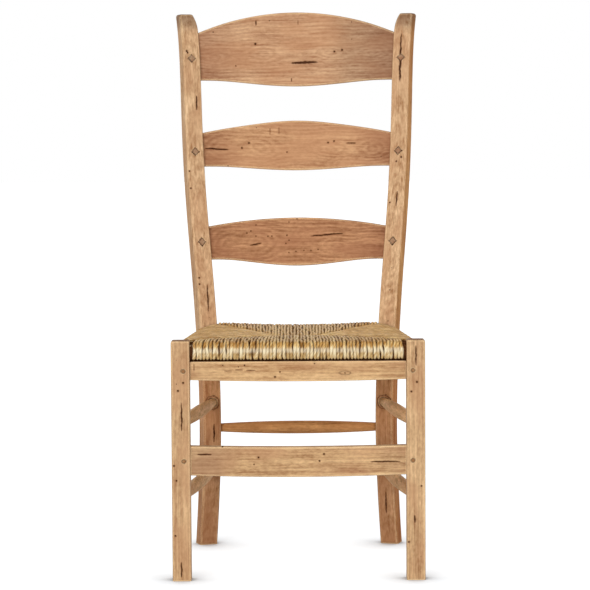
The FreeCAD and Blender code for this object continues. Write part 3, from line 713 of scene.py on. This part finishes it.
# %% Rear posts
PALE = shades((236, 198, 155), (162, 116, 78), (190, 142, 104))
BURNT = screen_colour(191, 188, 190)
# redder wood below the seat, together with painted shade under the seat
UNDER_SEAT_RED_AND_SHADE = screen_colour(240, 216, 198)
# darker towards the feet
DARKER_TOWARDS_FEET = screen_colour(232, 232, 234)
# painted shade on faces turned to the right
RIGHT_SIDE_SHADE = screen_colour(255, 228, 188)
post_washes = [(UP, 1.068, 1.108, BURNT, 1.0), (DOWN, -0.43, -0.36, UNDER_SEAT_RED_AND_SHADE, 0.9),
               (DOWN, -0.28, -0.20, DARKER_TOWARDS_FEET, 1.0)]
post_rings = [(0.0, z, 8.2, 1.7, 0.0, 3.0, 1.0, 1.0) for z in PEG_LEVELS]
post_rings += [(0.0, SIDE_STRETCHER_Z, reach, width, 1.0, 7.0, 1.0, 0.75)
               for reach, width in ((9.5, 2.0), (14.5, 1.3))]
left_post = wood("left_post_wood", PALE, seed=1.7, washes=post_washes, rings=post_rings,
                 holes=[(-10.1, 1036, 1.6), (-8.5, 1033, 1.4), (-15.4, 784, 1.2), (-14.8, 748, 1.3),
                        (-12.9, 562, 1.3), (-13.5, 549, 1.3)],
                 splits=[(7.1, 927, 88, 16.0, 1.3, 1.0), (2.4, 520, 88, 29.0, 1.3, 4.0),
                         (2.8, 240, 90, 20.0, 1.4, 4.0)], **post_frame(-1))
right_post = wood("right_post_wood", PALE, seed=5.9, washes=post_washes, rings=post_rings,
                  side_shade=RIGHT_SIDE_SHADE,
                  holes=[(7.3, 811, 1.5), (-3.1, 802, 1.3), (-12.3, 716, 1.2)],
                  splits=[(-1.1, 1020, 91, 52.0, 1.9, 8.0), (2.4, 724, 88, 16.0, 1.2, 2.0),
                          (-0.8, 90, 88, 24.0, 1.3, 4.0)], **post_frame(1))
dress("rear_post_left", left_post)
dress("rear_post_right", right_post)
print("rear posts dressed")

# %% [markdown]
# ## Slats
# Three curved boards with level grain and arched figure. They are a little redder than the frame, and
# browner towards the posts, partly stain and partly painted shade from the posts. The crest is also a
# little greyer on its right.

# %% Slats
CREST = shades((220, 178, 138), (160, 112, 80), (190, 138, 100))
APRICOT = shades((219, 172, 128), (160, 110, 76), (190, 138, 100))
CHESTNUT = shades((206, 154, 112), (136, 88, 58), (168, 114, 82))
SHADED_END = screen_colour(230, 222, 222)
GREYED = screen_colour(232, 234, 236)
# The slats take strong grime and painted shade: it paints the shadow line where a slat meets a post.
SLAT_GRAIN = {"grain": "X", "depth_scale": 0.15, "figure": 0.6, "ring_width": 0.0075,
              "arch": 0.034, "worn": 1.0, "grime_and_shade": 1.2}


def slat_washes(start, end, amount):
    """Browner wood near both posts: partly stain, partly painted shade from the posts."""
    return [(side, start, end, SHADED_END, amount) for side in (LEFT, RIGHT)]


crest = wood("crest_wood", CREST, offset=(0.0, 0.0, -1.03), seed=2.6, **SLAT_GRAIN,
             washes=slat_washes(0.09, 0.20, 1.0) + [(RIGHT, 0.05, 0.12, GREYED, 1.0)],
             holes=[(-86.6, 21.7, 1.7), (81.2, 4.5, 1.5), (97.5, 7.9, 1.6), (-128.2, -24.9, 0.9)],
             splits=[(17.6, -18.4, 2, 28.8, 2.2, 0.8), (-85.2, 66.2, 90, 6.0, 1.0, 0.5),
                     (4.2, 67.0, 90, 5.2, 0.4, 0.5), (-10.4, -55.0, 90, 4.2, 0.7, 0.5)])
middle = wood("middle_wood", APRICOT, offset=(0.0, 0.0, -0.83), seed=7.3, **SLAT_GRAIN,
              washes=slat_washes(0.10, 0.19, 1.0),
              holes=[(-116.3, 1.2, 1.4), (-101.4, 11.7, 1.4), (66.5, 11.7, 1.3), (79.3, 14.8, 1.3),
                     (-20.8, -8.0, 1.0)],
              splits=[(-169.8, -0.4, -4, 26.2, 1.3, 3.5), (115.2, 10.4, 0, 10.6, 1.0, 1.0),
                      (-56.6, 35.8, 90, 7.5, 0.4, 0.5), (-37.6, 37.8, 90, 7.5, 0.4, 0.5)])
lower = wood("lower_wood", CHESTNUT, offset=(0.0, 0.0, -0.63), seed=4.2, **SLAT_GRAIN,
             washes=slat_washes(0.10, 0.18, 0.8),
             holes=[(-106.2, 22.2, 1.0), (-97.8, 26.3, 1.0), (-87.3, 15.5, 1.0), (-62.0, 15.1, 1.0),
                    (-53.5, 15.0, 1.0), (-21.7, 16.8, 1.1), (-17.6, 6.2, 1.0), (-24.0, -0.2, 1.0),
                    (-17.7, -19.3, 0.9), (-2.9, -17.3, 0.9), (14.1, -15.3, 0.9), (29.0, -15.3, 0.9),
                    (43.8, -13.2, 0.9), (-17.3, 44.3, 0.9), (-0.3, 50.6, 0.9), (-87.1, 38.8, 0.9)],
             splits=[(62.9, 17.7, 5, 36.0, 1.3, 4.0), (-87.4, -1.4, 10, 12.8, 1.2, 2.0)])
dress("crest_slat", crest)
dress("middle_slat", middle)
dress("lower_slat", lower)
print("slats dressed")

# %% [markdown]
# ## Apron and front stretcher
# Two boards between the front legs. The apron is the lightest wood of the chair, because it faces the
# light just under the seat. Both are darker at their ends, a painted shade from the legs, as the
# boards sit back from the legs' front faces.

# %% Boards
SUNLIT = shades((238, 198, 146), (166, 120, 80), (190, 142, 104))
WHEAT = shades((233, 193, 143), (154, 110, 74), (190, 142, 104))
# painted shade at the ends of the boards, next to the legs
BOARD_END_SHADE = screen_colour(228, 226, 230)
# The apron takes strong grime and painted shade: it paints the shadow of the rush along its top.
apron = wood("apron_wood", SUNLIT, grain="X", offset=(0.0, 0.0, -0.408), seed=6.6, figure=0.4,
             grime_and_shade=1.8,
             washes=[(LEFT, 0.12, 0.20, BOARD_END_SHADE, 0.4), (RIGHT, 0.14, 0.20, BOARD_END_SHADE, 0.3)],
             holes=[(-103.1, 10.7, 1.1), (-44.5, -11.9, 1.4), (-34.8, -2.3, 1.0), (31.8, 13.8, 1.0),
                    (90.5, -5.0, 0.8)],
             rings=[(90.5, -5.0, 3.6, 0.9, 1.0, 1.5, 3.0, 0.5)],
             splits=[(-135.0, 0.2, 0, 7.8, 0.5, 1.5), (-113.8, 2.0, 0, 7.8, 0.5, 1.5),
                     (-90.6, 1.0, 0, 9.7, 0.5, 1.5), (-200.4, 7.4, 90, 6.8, 0.5, 0.5)])
stretcher = wood("front_stretcher_wood", WHEAT, grain="X", offset=(0.0, 0.0, -0.235), seed=9.5,
                 washes=[(LEFT, 0.10, 0.18, BOARD_END_SHADE, 1.0), (RIGHT, 0.13, 0.20, BOARD_END_SHADE, 0.5)],
                 holes=[(-77.3, 5.1, 1.3), (-86.1, -8.5, 1.0), (49.2, 11.2, 1.3), (40.5, -2.4, 1.2)],
                 splits=[(168.0, -4.2, 0, 30.0, 1.1, 3.5), (-181.6, 11.5, 0, 14.5, 1.2, 2.5)])
dress("apron", apron)
dress("front_stretcher", stretcher)
print("boards dressed")

# %% [markdown]
# ## Turned stretchers
# The round bars are browner than the frame, with the grain along each bar.

# %% Round bars
AMBER = shades((248, 200, 144), (172, 126, 82), (214, 160, 110))
ORANGE_BROWN = shades((238, 178, 116), (158, 104, 60), (204, 142, 88))
side_bar = wood("side_bar_wood", AMBER, grain="Y", seed=1.2, figure=0.3, scatter=0.05)
rear_bar = wood("rear_bar_wood", ORANGE_BROWN, grain="X", offset=(0.0, -0.115, -0.249), seed=3.8,
                scatter=0.05)
for side in ("left", "right"):
    for level in ("upper", "lower"):
        dress(f"{side}_{level}_side_stretcher", side_bar)
dress("rear_stretcher", rear_bar)
print("round bars dressed")

# %% [markdown]
# ## Pegs and hidden rails
# The pegs' heads stand a little proud and are rubbed pale, while wax has darkened their rims.
# So the colour of their worn edge is dark, and its radius is small. The rails inside the seat are
# seen only through the slot beside each leg, so their wood is painted near black, as the shade in
# that slot.

# %% Pegs and rails
PEG_HEAD = shades((255, 238, 212), (222, 174, 140), (238, 188, 156))
ROUND_PEG_HEAD = shades((250, 214, 168), (206, 158, 114), (232, 186, 140))
# painted shade: the hidden rails are coloured near black
RAIL_SHADE = shades((92, 66, 46), (58, 40, 28), (74, 52, 38))
PEG_RIM = {"edge_colour": screen_colour(92, 50, 26), "edge_radius": 0.002}
peg_wood = wood("peg_end_wood", PEG_HEAD, grain="Y", seed=4.4, scatter=0.0, worn=0.9, **PEG_RIM)
round_peg_wood = wood("round_peg_wood", ROUND_PEG_HEAD, grain="Y", seed=2.2, scatter=0.0,
                      worn=0.6, **PEG_RIM)
rail_wood = wood("rail_wood", RAIL_SHADE, grain="X", seed=7.7, scatter=0.0)
for name in ("crest_slat_pegs", "middle_slat_pegs", "lower_slat_pegs"):
    dress(name, peg_wood)
for name in ("apron_pegs", "front_stretcher_pegs"):
    dress(name, round_peg_wood)
for name in ("front_seat_rail", "rear_seat_rail", "left_seat_rail", "right_seat_rail"):
    dress(name, rail_wood)
print("pegs and rails dressed")

# %% [markdown]
# ## How a rush seat is woven
# Rush is twisted into a cord by hand and wound over the four rails, one corner after another.
# Each turn shows as a strand that comes out of a seam, runs over the panel, rolls round the
# rail and goes back underneath. The strands could be a bump on one smooth cushion, but their
# rounds make the outline of the seat, so each one is a real tube here.

# %% Seat sizes
seat_low, seat_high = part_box("rush_seat")
leg_low, leg_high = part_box("front_leg_right")
ROLL_RADIUS = 0.017
SEAT_TOP, SEAT_BOTTOM = 0.465, 0.427
FRONT_Y, REAR_Y = seat_low[1], seat_high[1]
SEAM_Y = (FRONT_Y + REAR_Y) / 2
SEAM_HALF = 0.036                       # half the length of the seam in the middle
SEAM = (0.459, 0.431)                   # heights of the seam on top and underneath
FRONT_CORNER = (leg_low[0], leg_high[1])
REAR_CORNER = (0.1667, 0.1166)
FRONT_CORNER_TOP, REAR_CORNER_TOP = 0.4655, 0.468
REAR_ROLL_TOP = 0.469                   # the ends of the rear roll ride up at the posts
FRONT_ROLL_HALF, REAR_ROLL_HALF = 0.2012, 0.1640
SIDE_FRONT_X, SIDE_REAR_X = 0.2365, 0.2125
SIDE_FALL = 0.006                       # the side rails are lower at the rear
CROWN = 0.003                           # how much a panel swells in its middle
print("seat from", round(FRONT_Y, 4), "to", round(REAR_Y, 4), "and corner", FRONT_CORNER)

# %% Strand sizes
PITCH = 0.0065                          # from strand to strand
THICK = 0.0034                          # half a strand, up and down
WIDE = 0.0034                           # half a strand, across
STEP = 0.0055                           # between the rings of a tube
SIDES = 10
LAY = 0.034                             # one full twist of the cord
SWELL = 0.07                            # how much the two leaves of a cord stand out
DIVE = 0.006                            # the strands dip under each other at the seam
DIVE_LENGTH = 0.008
print("a strand is", round(2 * WIDE / MM, 1), "mm wide")

# %% [markdown]
# The seat has four panels. Each strand is laid out in its own panel: how far it is along the
# rail, how deep inside the roll, and its height. The profile below is the same for all four.

# %% Strand profile
FLAT_POINTS = 24                        # points on top, and as many underneath
ROLL_POINTS = 9                         # points in each quarter of the roll


def smooth(share):
    """Eases a share from 0 to 1."""
    share = np.clip(share, 0.0, 1.0)
    return share * share * (3 - 2 * share)


def profile(depth, roll, seam):
    """Depth, height and stage of one strand, from its seam over the roll and back underneath.

    roll and seam are the heights of the top and the underside there. The stage is 0 to 1 on
    top, 1 to 2 round the roll and 2 to 3 underneath.
    """
    roll_top, roll_bottom = roll
    seam_top, seam_bottom = seam
    flat = depth - ROLL_RADIUS
    share = np.linspace(1.0, 0.0, FLAT_POINTS)
    crown = CROWN * min(1.0, flat / (4 * ROLL_RADIUS))
    dive = DIVE * smooth(1 - (1 - share) * flat / DIVE_LENGTH)
    top = [ROLL_RADIUS + share * flat,
           roll_top + (seam_top - roll_top) * share + 4 * crown * share * (1 - share) - THICK - dive,
           1.0 - share]
    turn = np.linspace(0.0, math.pi / 2, ROLL_POINTS)[1:]
    bend = ROLL_RADIUS - THICK
    over = [ROLL_RADIUS - bend * np.sin(turn), roll_top - ROLL_RADIUS + bend * np.cos(turn),
            1.0 + 0.5 * turn / turn[-1]]
    under = [ROLL_RADIUS - bend * np.cos(turn), roll_bottom + ROLL_RADIUS - bend * np.sin(turn),
             1.5 + 0.5 * turn / turn[-1]]
    back = share[::-1][1:]
    lift = DIVE * smooth(1 - (1 - back) * flat / DIVE_LENGTH)
    below = [ROLL_RADIUS + back * flat,
             roll_bottom + (seam_bottom - roll_bottom) * back + THICK + lift, 2.0 + back]
    return np.concatenate([np.array(part) for part in (top, over, under, below)], axis=1)


example = profile(SEAM_Y - FRONT_Y, (SEAT_TOP, SEAT_BOTTOM), SEAM)
print("a middle strand has", example.shape[1], "points in its profile")

# %% Tube round a path
def even_steps(points, extra, step):
    """The same path with points a step apart, and the extra value carried along."""
    lengths = np.concatenate([[0.0], np.cumsum(np.linalg.norm(np.diff(points, axis=0), axis=1))])
    count = max(4, int(lengths[-1] / step))
    places = np.linspace(0.0, lengths[-1], count)
    columns = [np.interp(places, lengths, points[:, axis]) for axis in range(3)]
    return np.stack(columns, axis=1), np.interp(places, lengths, extra)


def tube(path, across, width, thick, twist_start):
    """Rings of a two-ply twisted cord round a path, and the place of each point on the cord."""
    ahead = np.gradient(path, axis=0)
    ahead /= np.linalg.norm(ahead, axis=1)[:, None]
    side = across - (ahead @ across)[:, None] * ahead
    side /= np.linalg.norm(side, axis=1)[:, None]
    up = np.cross(ahead, side)
    run = np.concatenate([[0.0], np.cumsum(np.linalg.norm(np.diff(path, axis=0), axis=1))])
    angle = np.linspace(0.0, 2 * math.pi, SIDES, endpoint=False)
    ply = angle[None, :] - (2 * math.pi * run / LAY)[:, None] - twist_start
    swell = 1.0 + SWELL * np.cos(2 * ply)
    ring = (side[:, None, :] * (width[:, None] * swell * np.cos(angle))[:, :, None]
            + up[:, None, :] * (thick * swell * np.sin(angle))[:, :, None])
    lay = np.stack([np.cos(ply), np.sin(ply), np.broadcast_to(run[:, None], ply.shape)], axis=2)
    return path[:, None, :] + ring, lay


print("tube sides:", SIDES)

# %% [markdown]
# No two turns are alike: the weaver's cord is thicker here and thinner there, and pulls a bit
# to one side. A seeded random generator gives every strand its own small errors, so the seat
# comes out the same in each run. Near a leg the strands lean in as they climb the roll, because
# the corner leaves less room on top.

# %% Weaver's errors
HEIGHT_ERROR = 0.0003
SIDE_ERROR = 0.0009
WIDTH_ERROR = 0.10                      # a share of the strand's width
FULL_TWIST = 6.28                       # each strand starts with the cord turned some way round
CORD_LENGTH = 20.0                      # and somewhere on a long cord
weaver = np.random.default_rng(41)


def slow_noise(count, size, gap=3):
    """A smooth random line of count values, with a new direction about every gap values."""
    knots = weaver.normal(0.0, size, max(2, count // gap + 2))
    return np.interp(np.linspace(0.0, len(knots) - 1.0, count), np.arange(len(knots)), knots)


print("the weaver's hand is off by about", round(SIDE_ERROR / MM, 1), "mm")

# %% Weave one panel
PAST_SEAM = 0.002                       # each strand runs a little past its seam
SAG_START, SAG_EASE = 1.5, 0.4          # the stages over which the lining comes to its full sag
SAG_END = ROLL_RADIUS + 0.009           # and how far in from the roll's face it ends
lining = []                             # one grid of points for each panel


def weave(places, depths, heights, to_world, across, sag=0.0):
    """All strands of one panel as rings and cord places. It also adds the panel's lining.

    places are where each strand is along the rail: below the roll, on top of it and at the seam.
    heights are the pairs for its roll and its seam. sag lowers the lining just under the roll.
    """
    across = np.array(across)
    strands, grid = [], []
    for (low_at, high_at, seam_at), depth, (roll, seam) in zip(places, depths, heights):
        wobble = weaver.normal(0.0, HEIGHT_ERROR)
        inward, height, stage = profile(depth + PAST_SEAM, (roll[0] + wobble, roll[1]), seam)
        sideways = np.interp(stage, [0.0, 1.0, 2.0, 3.0], [seam_at, high_at, low_at, seam_at])
        path = np.stack(to_world(sideways, inward, len(grid)) + (height,), axis=1)
        lining_path = path.copy()
        lining_path[:, 2] -= sag * smooth((stage - SAG_START) / SAG_EASE) * (inward < SAG_END)
        grid.append(lining_path)
        path, stage = even_steps(path, stage, STEP)
        path += across[None, :] * slow_noise(len(path), SIDE_ERROR)[:, None]
        width = WIDE * (1.0 + slow_noise(len(path), WIDTH_ERROR))
        rings, lay = tube(path, across, width, THICK, weaver.uniform(0.0, FULL_TWIST))
        lay[:, :, 2] += weaver.uniform(0.0, CORD_LENGTH)
        strands.append((rings, lay, weaver.uniform(0.0, 1.0)))
    past_start = 3 * grid[0] - 2 * grid[1]
    past_end = 3 * grid[-1] - 2 * grid[-2]
    lining.append(np.array([past_start] + grid + [past_end]))
    return strands


def blend(first, second, share):
    """Two pairs of heights mixed: share is 0 for the first pair and 1 for the second."""
    return tuple(a + (b - a) * share for a, b in zip(first, second))


print("weaving starts")

# %% Front and rear panels
LEAN_START = 0.020                      # from here out the strands lean in towards the seam
LEAN_LENGTH = 0.060
ROLL_SHARE = 0.020                      # the length of the roll that shares in the lean
FRONT_LEAN, REAR_LEAN = 0.007, 0.004
FRONT_SAG = 0.00382                     # lets the lining touch the apron's top


def cross_panel(outer_y, inward, corner, end_top, corner_top, roll_half, lean, sag):
    """The front or rear panel, with its strands from front to back."""
    corner_x, corner_y = corner
    count = int(round(2 * roll_half / PITCH)) + 1
    low_at = np.linspace(-roll_half, roll_half, count)
    seam_at = low_at - np.sign(low_at) * lean * smooth((np.abs(low_at) - LEAN_START) / LEAN_LENGTH)
    share = np.clip((corner_x - np.abs(seam_at)) / (corner_x - SEAM_HALF), 0.0, 1.0)
    seam_y = corner_y + (SEAM_Y - corner_y) * share
    flat = np.abs(seam_y - outer_y) - ROLL_RADIUS
    high_at = low_at + (seam_at - low_at) * ROLL_SHARE / (ROLL_SHARE + flat)
    heights = [(blend((end_top, SEAT_BOTTOM), (SEAT_TOP, SEAT_BOTTOM), part),
                blend((corner_top, SEAT_BOTTOM), SEAM, part)) for part in share]
    return weave(np.stack([low_at, high_at, seam_at], axis=1), np.abs(seam_y - outer_y), heights,
                 lambda sideways, depth, number: (sideways, outer_y + inward * depth),
                 (1.0, 0.0, 0.0), sag)


front_strands = cross_panel(FRONT_Y, 1.0, FRONT_CORNER, SEAT_TOP, FRONT_CORNER_TOP,
                            FRONT_ROLL_HALF, FRONT_LEAN, FRONT_SAG)
rear_strands = cross_panel(REAR_Y, -1.0, REAR_CORNER, REAR_ROLL_TOP, REAR_CORNER_TOP,
                           REAR_ROLL_HALF, REAR_LEAN, 0.0)
print(len(front_strands), "front strands,", len(rear_strands), "rear strands")

# %% Side panels
FROM_CORNER = 0.004                     # the first and last strand's distance from a corner
REAR_ROOM = 0.020                       # the side roll ends this far before the rear corner


def side_panel(side):
    """The left (-1) or right (1) panel, with its strands from side to side."""
    front_y, rear_y = FRONT_CORNER[1], REAR_CORNER[1]
    count = int(round((rear_y - front_y) / PITCH))
    seam_at = np.linspace(front_y + FROM_CORNER, rear_y - FROM_CORNER, count)
    roll_at = np.linspace(front_y + FROM_CORNER, rear_y - REAR_ROOM, count)
    way_back = (roll_at - front_y) / (rear_y - front_y)
    outer = SIDE_FRONT_X + (SIDE_REAR_X - SIDE_FRONT_X) * way_back
    in_front = seam_at < SEAM_Y
    share = np.where(in_front, (seam_at - front_y) / (SEAM_Y - front_y),
                     (rear_y - seam_at) / (rear_y - SEAM_Y))
    corner_x = np.where(in_front, FRONT_CORNER[0], REAR_CORNER[0])
    corner_top = np.where(in_front, FRONT_CORNER_TOP, REAR_CORNER_TOP)
    seam_x = corner_x + (SEAM_HALF - corner_x) * share
    heights = [((SEAT_TOP - SIDE_FALL * back, SEAT_BOTTOM - SIDE_FALL * back),
                blend((top, SEAT_BOTTOM), SEAM, part))
               for back, top, part in zip(way_back, corner_top, share)]
    return weave(np.stack([roll_at, roll_at, seam_at], axis=1), outer - seam_x, heights,
                 lambda sideways, depth, number: (side * (outer[number] - depth), sideways),
                 (0.0, 1.0, 0.0))


side_strands = side_panel(-1) + side_panel(1)
print(len(side_strands), "side strands")

# %% Join the strands into one mesh
def strand_mesh(name, strands):
    """One mesh of closed tubes.

    It stores the place on the cord, a random value for each strand and, from 0 on its crest to
    1 at its sides, how near a point is to the next strand.
    """
    points, faces, lays, values, sides = [], [], [], [], []
    around = np.abs(np.cos(np.linspace(0.0, 2 * math.pi, SIDES, endpoint=False)))
    first = 0
    for rings, lay, value in strands:
        count = len(rings)
        points.append(rings.reshape(-1, 3))
        lays.append(lay.reshape(-1, 3))
        values.append(np.full(count * SIDES, value))
        sides.append(np.tile(around, count))
        number = first + np.arange(count * SIDES).reshape(count, SIDES)
        ahead = np.roll(number, -1, axis=1)
        quads = np.stack([number[:-1], ahead[:-1], ahead[1:], number[1:]], axis=2).reshape(-1, 4)
        faces += quads.tolist()
        faces.append(number[0][::-1].tolist())
        faces.append(number[-1].tolist())
        first += count * SIDES
    mesh = bpy.data.meshes.new(name)
    mesh.from_pydata(np.concatenate(points), [], faces)
    mesh.shade_smooth()
    mesh.attributes.new("cord_place", "FLOAT_VECTOR", "POINT").data.foreach_set(
        "vector", np.concatenate(lays).astype(np.float32).ravel())
    for title, column in (("strand_value", values), ("strand_side", sides)):
        mesh.attributes.new(title, "FLOAT", "POINT").data.foreach_set(
            "value", np.concatenate(column).astype(np.float32))
    mesh.update()
    return mesh


rush_mesh = strand_mesh("rush_weave", front_strands + rear_strands + side_strands)
rush = bpy.data.objects.new("rush_weave", rush_mesh)
scene.collection.objects.link(rush)
print("rush:", len(rush_mesh.polygons), "faces")

# %% [markdown]
# ## Rush material
# Each cord is two twisted leaves. Their colour goes from straw to olive brown, changes along
# the cord and differs from strand to strand, and fine ribs follow the twist. The place on the
# cord was stored on the mesh as an attribute, so the pattern turns with the twist.

# %% Rush colours along the cord
STRAW = screen_colour(252, 232, 188)
FADED_RUSH = screen_colour(214, 176, 118)
OLIVE = screen_colour(152, 114, 68)
rush_material, tree, shader = new_material("rush")
cord_place = add_node(tree, "ShaderNodeAttribute", {}, attribute_name="cord_place").outputs["Vector"]
strand_value, strand_side = [
    add_node(tree, "ShaderNodeAttribute", {}, attribute_name=title).outputs["Fac"]
    for title in ("strand_value", "strand_side")]
patch = noise(tree, cord_place, (0.6, 0.6, 60.0))
leaf = noise(tree, cord_place, (1.6, 1.6, 12.0))
rib = noise(tree, cord_place, (8.0, 8.0, 20.0), 3.0, 0.6)
tone = 0.62
for part, weight in ((patch, 1.8), (leaf, 1.3), (rib, 0.9), (strand_value, 0.6)):
    tone = plus(tree, tone, times(tree, centred(tree, part), weight))
colour = mix_colour(tree, ramp(tree, tone, 0.0, 0.5), OLIVE, FADED_RUSH)
colour = mix_colour(tree, ramp(tree, tone, 0.5, 1.0), colour, STRAW)
print("rush colours:", len(tree.nodes), "nodes")

# %% [markdown]
# Use has changed some colours, and light and shade are painted in too. The top of the seat is painted
# browner and darker as shade, because the light from the front only grazes it, and used patches
# towards the sides are stained. The crests of the strands on top are worn pale. A band along the edge
# is pale, partly worn and partly a painted highlight. The underside of the roll is painted lighter
# and yellower against its shade, and the valleys between strands get painted shade.

# %% Rush in use, with painted light and shade
PALE_BAND_LEVEL = 0.4475                   # height of the pale band on the rolled edge, partly worn and partly a painted highlight
BAND = (0.001, 0.007)                   # half the band's width, where it is full and where it ends
SIDE_PART = (0.05, 0.12)                # the stained patches begin this far from the middle
# painted shade on surfaces that face up
TOP_SHADE = screen_colour(246, 229, 195)
STAINED = screen_colour(232, 219, 206)
PALE_CREST = screen_colour(255, 228, 184)
# worn pale band with a painted highlight
RUBBED_AND_HIGHLIT = screen_colour(252, 243, 220)
# painted light on the underside of the roll
UNDERSIDE_LIGHT = screen_colour(246, 206, 138)
# painted shade in the valleys between strands
VALLEY_SHADE = screen_colour(80, 50, 25)
facing_up = facing_parts(tree)[2]
where = object_place(tree)
place = separate(tree, where)
on_top = ramp(tree, facing_up, 0.20, 0.52)
crest_line = ramp(tree, facing_up, 0.80, 1.0)
turned_down = ramp(tree, times(tree, facing_up, -1.0), 0.15, 0.75)
used = ramp(tree, noise(tree, where, (13.0, 34.0, 0.0), 3.0, 0.6), 0.40, 0.56)
outer_part = ramp(tree, size_of(tree, place[0]), *SIDE_PART)
used = times(tree, times(tree, used, outer_part), on_top)
off_band = size_of(tree, minus(tree, place[2], PALE_BAND_LEVEL))
pale_band = flipped(tree, ramp(tree, off_band, *BAND))
# The tops get painted shade.
colour = mix_colour(tree, on_top, colour, TOP_SHADE, "MULTIPLY")
colour = mix_colour(tree, times(tree, crest_line, 0.55), colour, PALE_CREST)
colour = mix_colour(tree, used, colour, STAINED, "MULTIPLY")
colour = mix_colour(tree, times(tree, pale_band, 0.40), colour, RUBBED_AND_HIGHLIT)
# The underside of the roll is painted lighter against its shade.
colour = mix_colour(tree, times(tree, turned_down, 0.6), colour, UNDERSIDE_LIGHT)
# Painted shade in the valleys, from the strands' sides and from ambient occlusion.
valley = ramp(tree, strand_side, 0.45, 0.98)
valley = times(tree, valley, plus(tree, times(tree, on_top, 0.55), 0.30))
deep = use_group(tree, grime_and_shade_group, Reach=0.006)["Grime and Shade"]
shade = calc(tree, "MAXIMUM", valley, times(tree, deep, 0.55))
colour = mix_colour(tree, shade, colour, VALLEY_SHADE)
feed(tree, shader.inputs["Base Color"], colour)
print("rush material so far:", len(tree.nodes), "nodes")

# %% Rush surface
feed(tree, shader.inputs["Roughness"], plus(tree, times(tree, rib, 0.25), 0.40))
bump = add_node(tree, "ShaderNodeBump", {"Height": times(tree, rib, 0.0009), "Strength": 0.9,
                                         "Distance": 1.0})
feed(tree, shader.inputs["Normal"], bump.outputs[0])
shader.inputs["Specular IOR Level"].default_value = 0.03
rush_mesh.materials.append(rush_material)
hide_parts("rush_seat")
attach(rush, "root")
print("rush finished")

# %% [markdown]
# ## Lining
# The weaver pushes loose rush between the upper and the lower layer. One sheet for each panel runs
# through the middle of its strands, so no light comes through the seat, and it is coloured near
# black, so that it paints the shade between the strands. It reaches a little past the first and last
# strand, into the slot beside each leg, and sags under the front roll onto the apron, where it paints
# a dark shadow line.

# %% Lining mesh
lining_points, lining_faces = [], []
for grid in lining:
    rows, columns, _ = grid.shape
    number = len(lining_points) + np.arange(rows * columns).reshape(rows, columns)
    lining_points += grid.reshape(-1, 3).tolist()
    lining_faces += np.stack([number[:-1, :-1], number[1:, :-1], number[1:, 1:], number[:-1, 1:]],
                             axis=2).reshape(-1, 4).tolist()
lining_mesh = bpy.data.meshes.new("rush_lining")
lining_mesh.from_pydata(lining_points, [], lining_faces)
lining_mesh.shade_smooth()
loose_rush = bpy.data.objects.new("rush_lining", lining_mesh)
scene.collection.objects.link(loose_rush)
print("lining:", len(lining_faces), "faces")

# %% Lining material
# near-black colours that paint the shade between the strands
LINING_DEEP_SHADE = screen_colour(48, 28, 14)
LINING_SHADE = screen_colour(98, 62, 36)
lining_material, tree, shader = new_material("loose_rush")
straws = noise(tree, object_place(tree), (300.0,) * 3, 3.0, 0.7)
lining_shade_colour = mix_colour(tree, ramp(tree, straws, 0.3, 0.7), LINING_DEEP_SHADE, LINING_SHADE)
feed(tree, shader.inputs["Base Color"], lining_shade_colour)
feed(tree, shader.inputs["Roughness"], plus(tree, times(tree, straws, 0.3), 0.6))
bump = add_node(tree, "ShaderNodeBump", {"Height": times(tree, straws, 0.001)})
feed(tree, shader.inputs["Normal"], bump.outputs[0])
shader.inputs["Specular IOR Level"].default_value = 0.0
lining_mesh.materials.append(lining_material)
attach(loose_rush, "root")
print("lining finished")
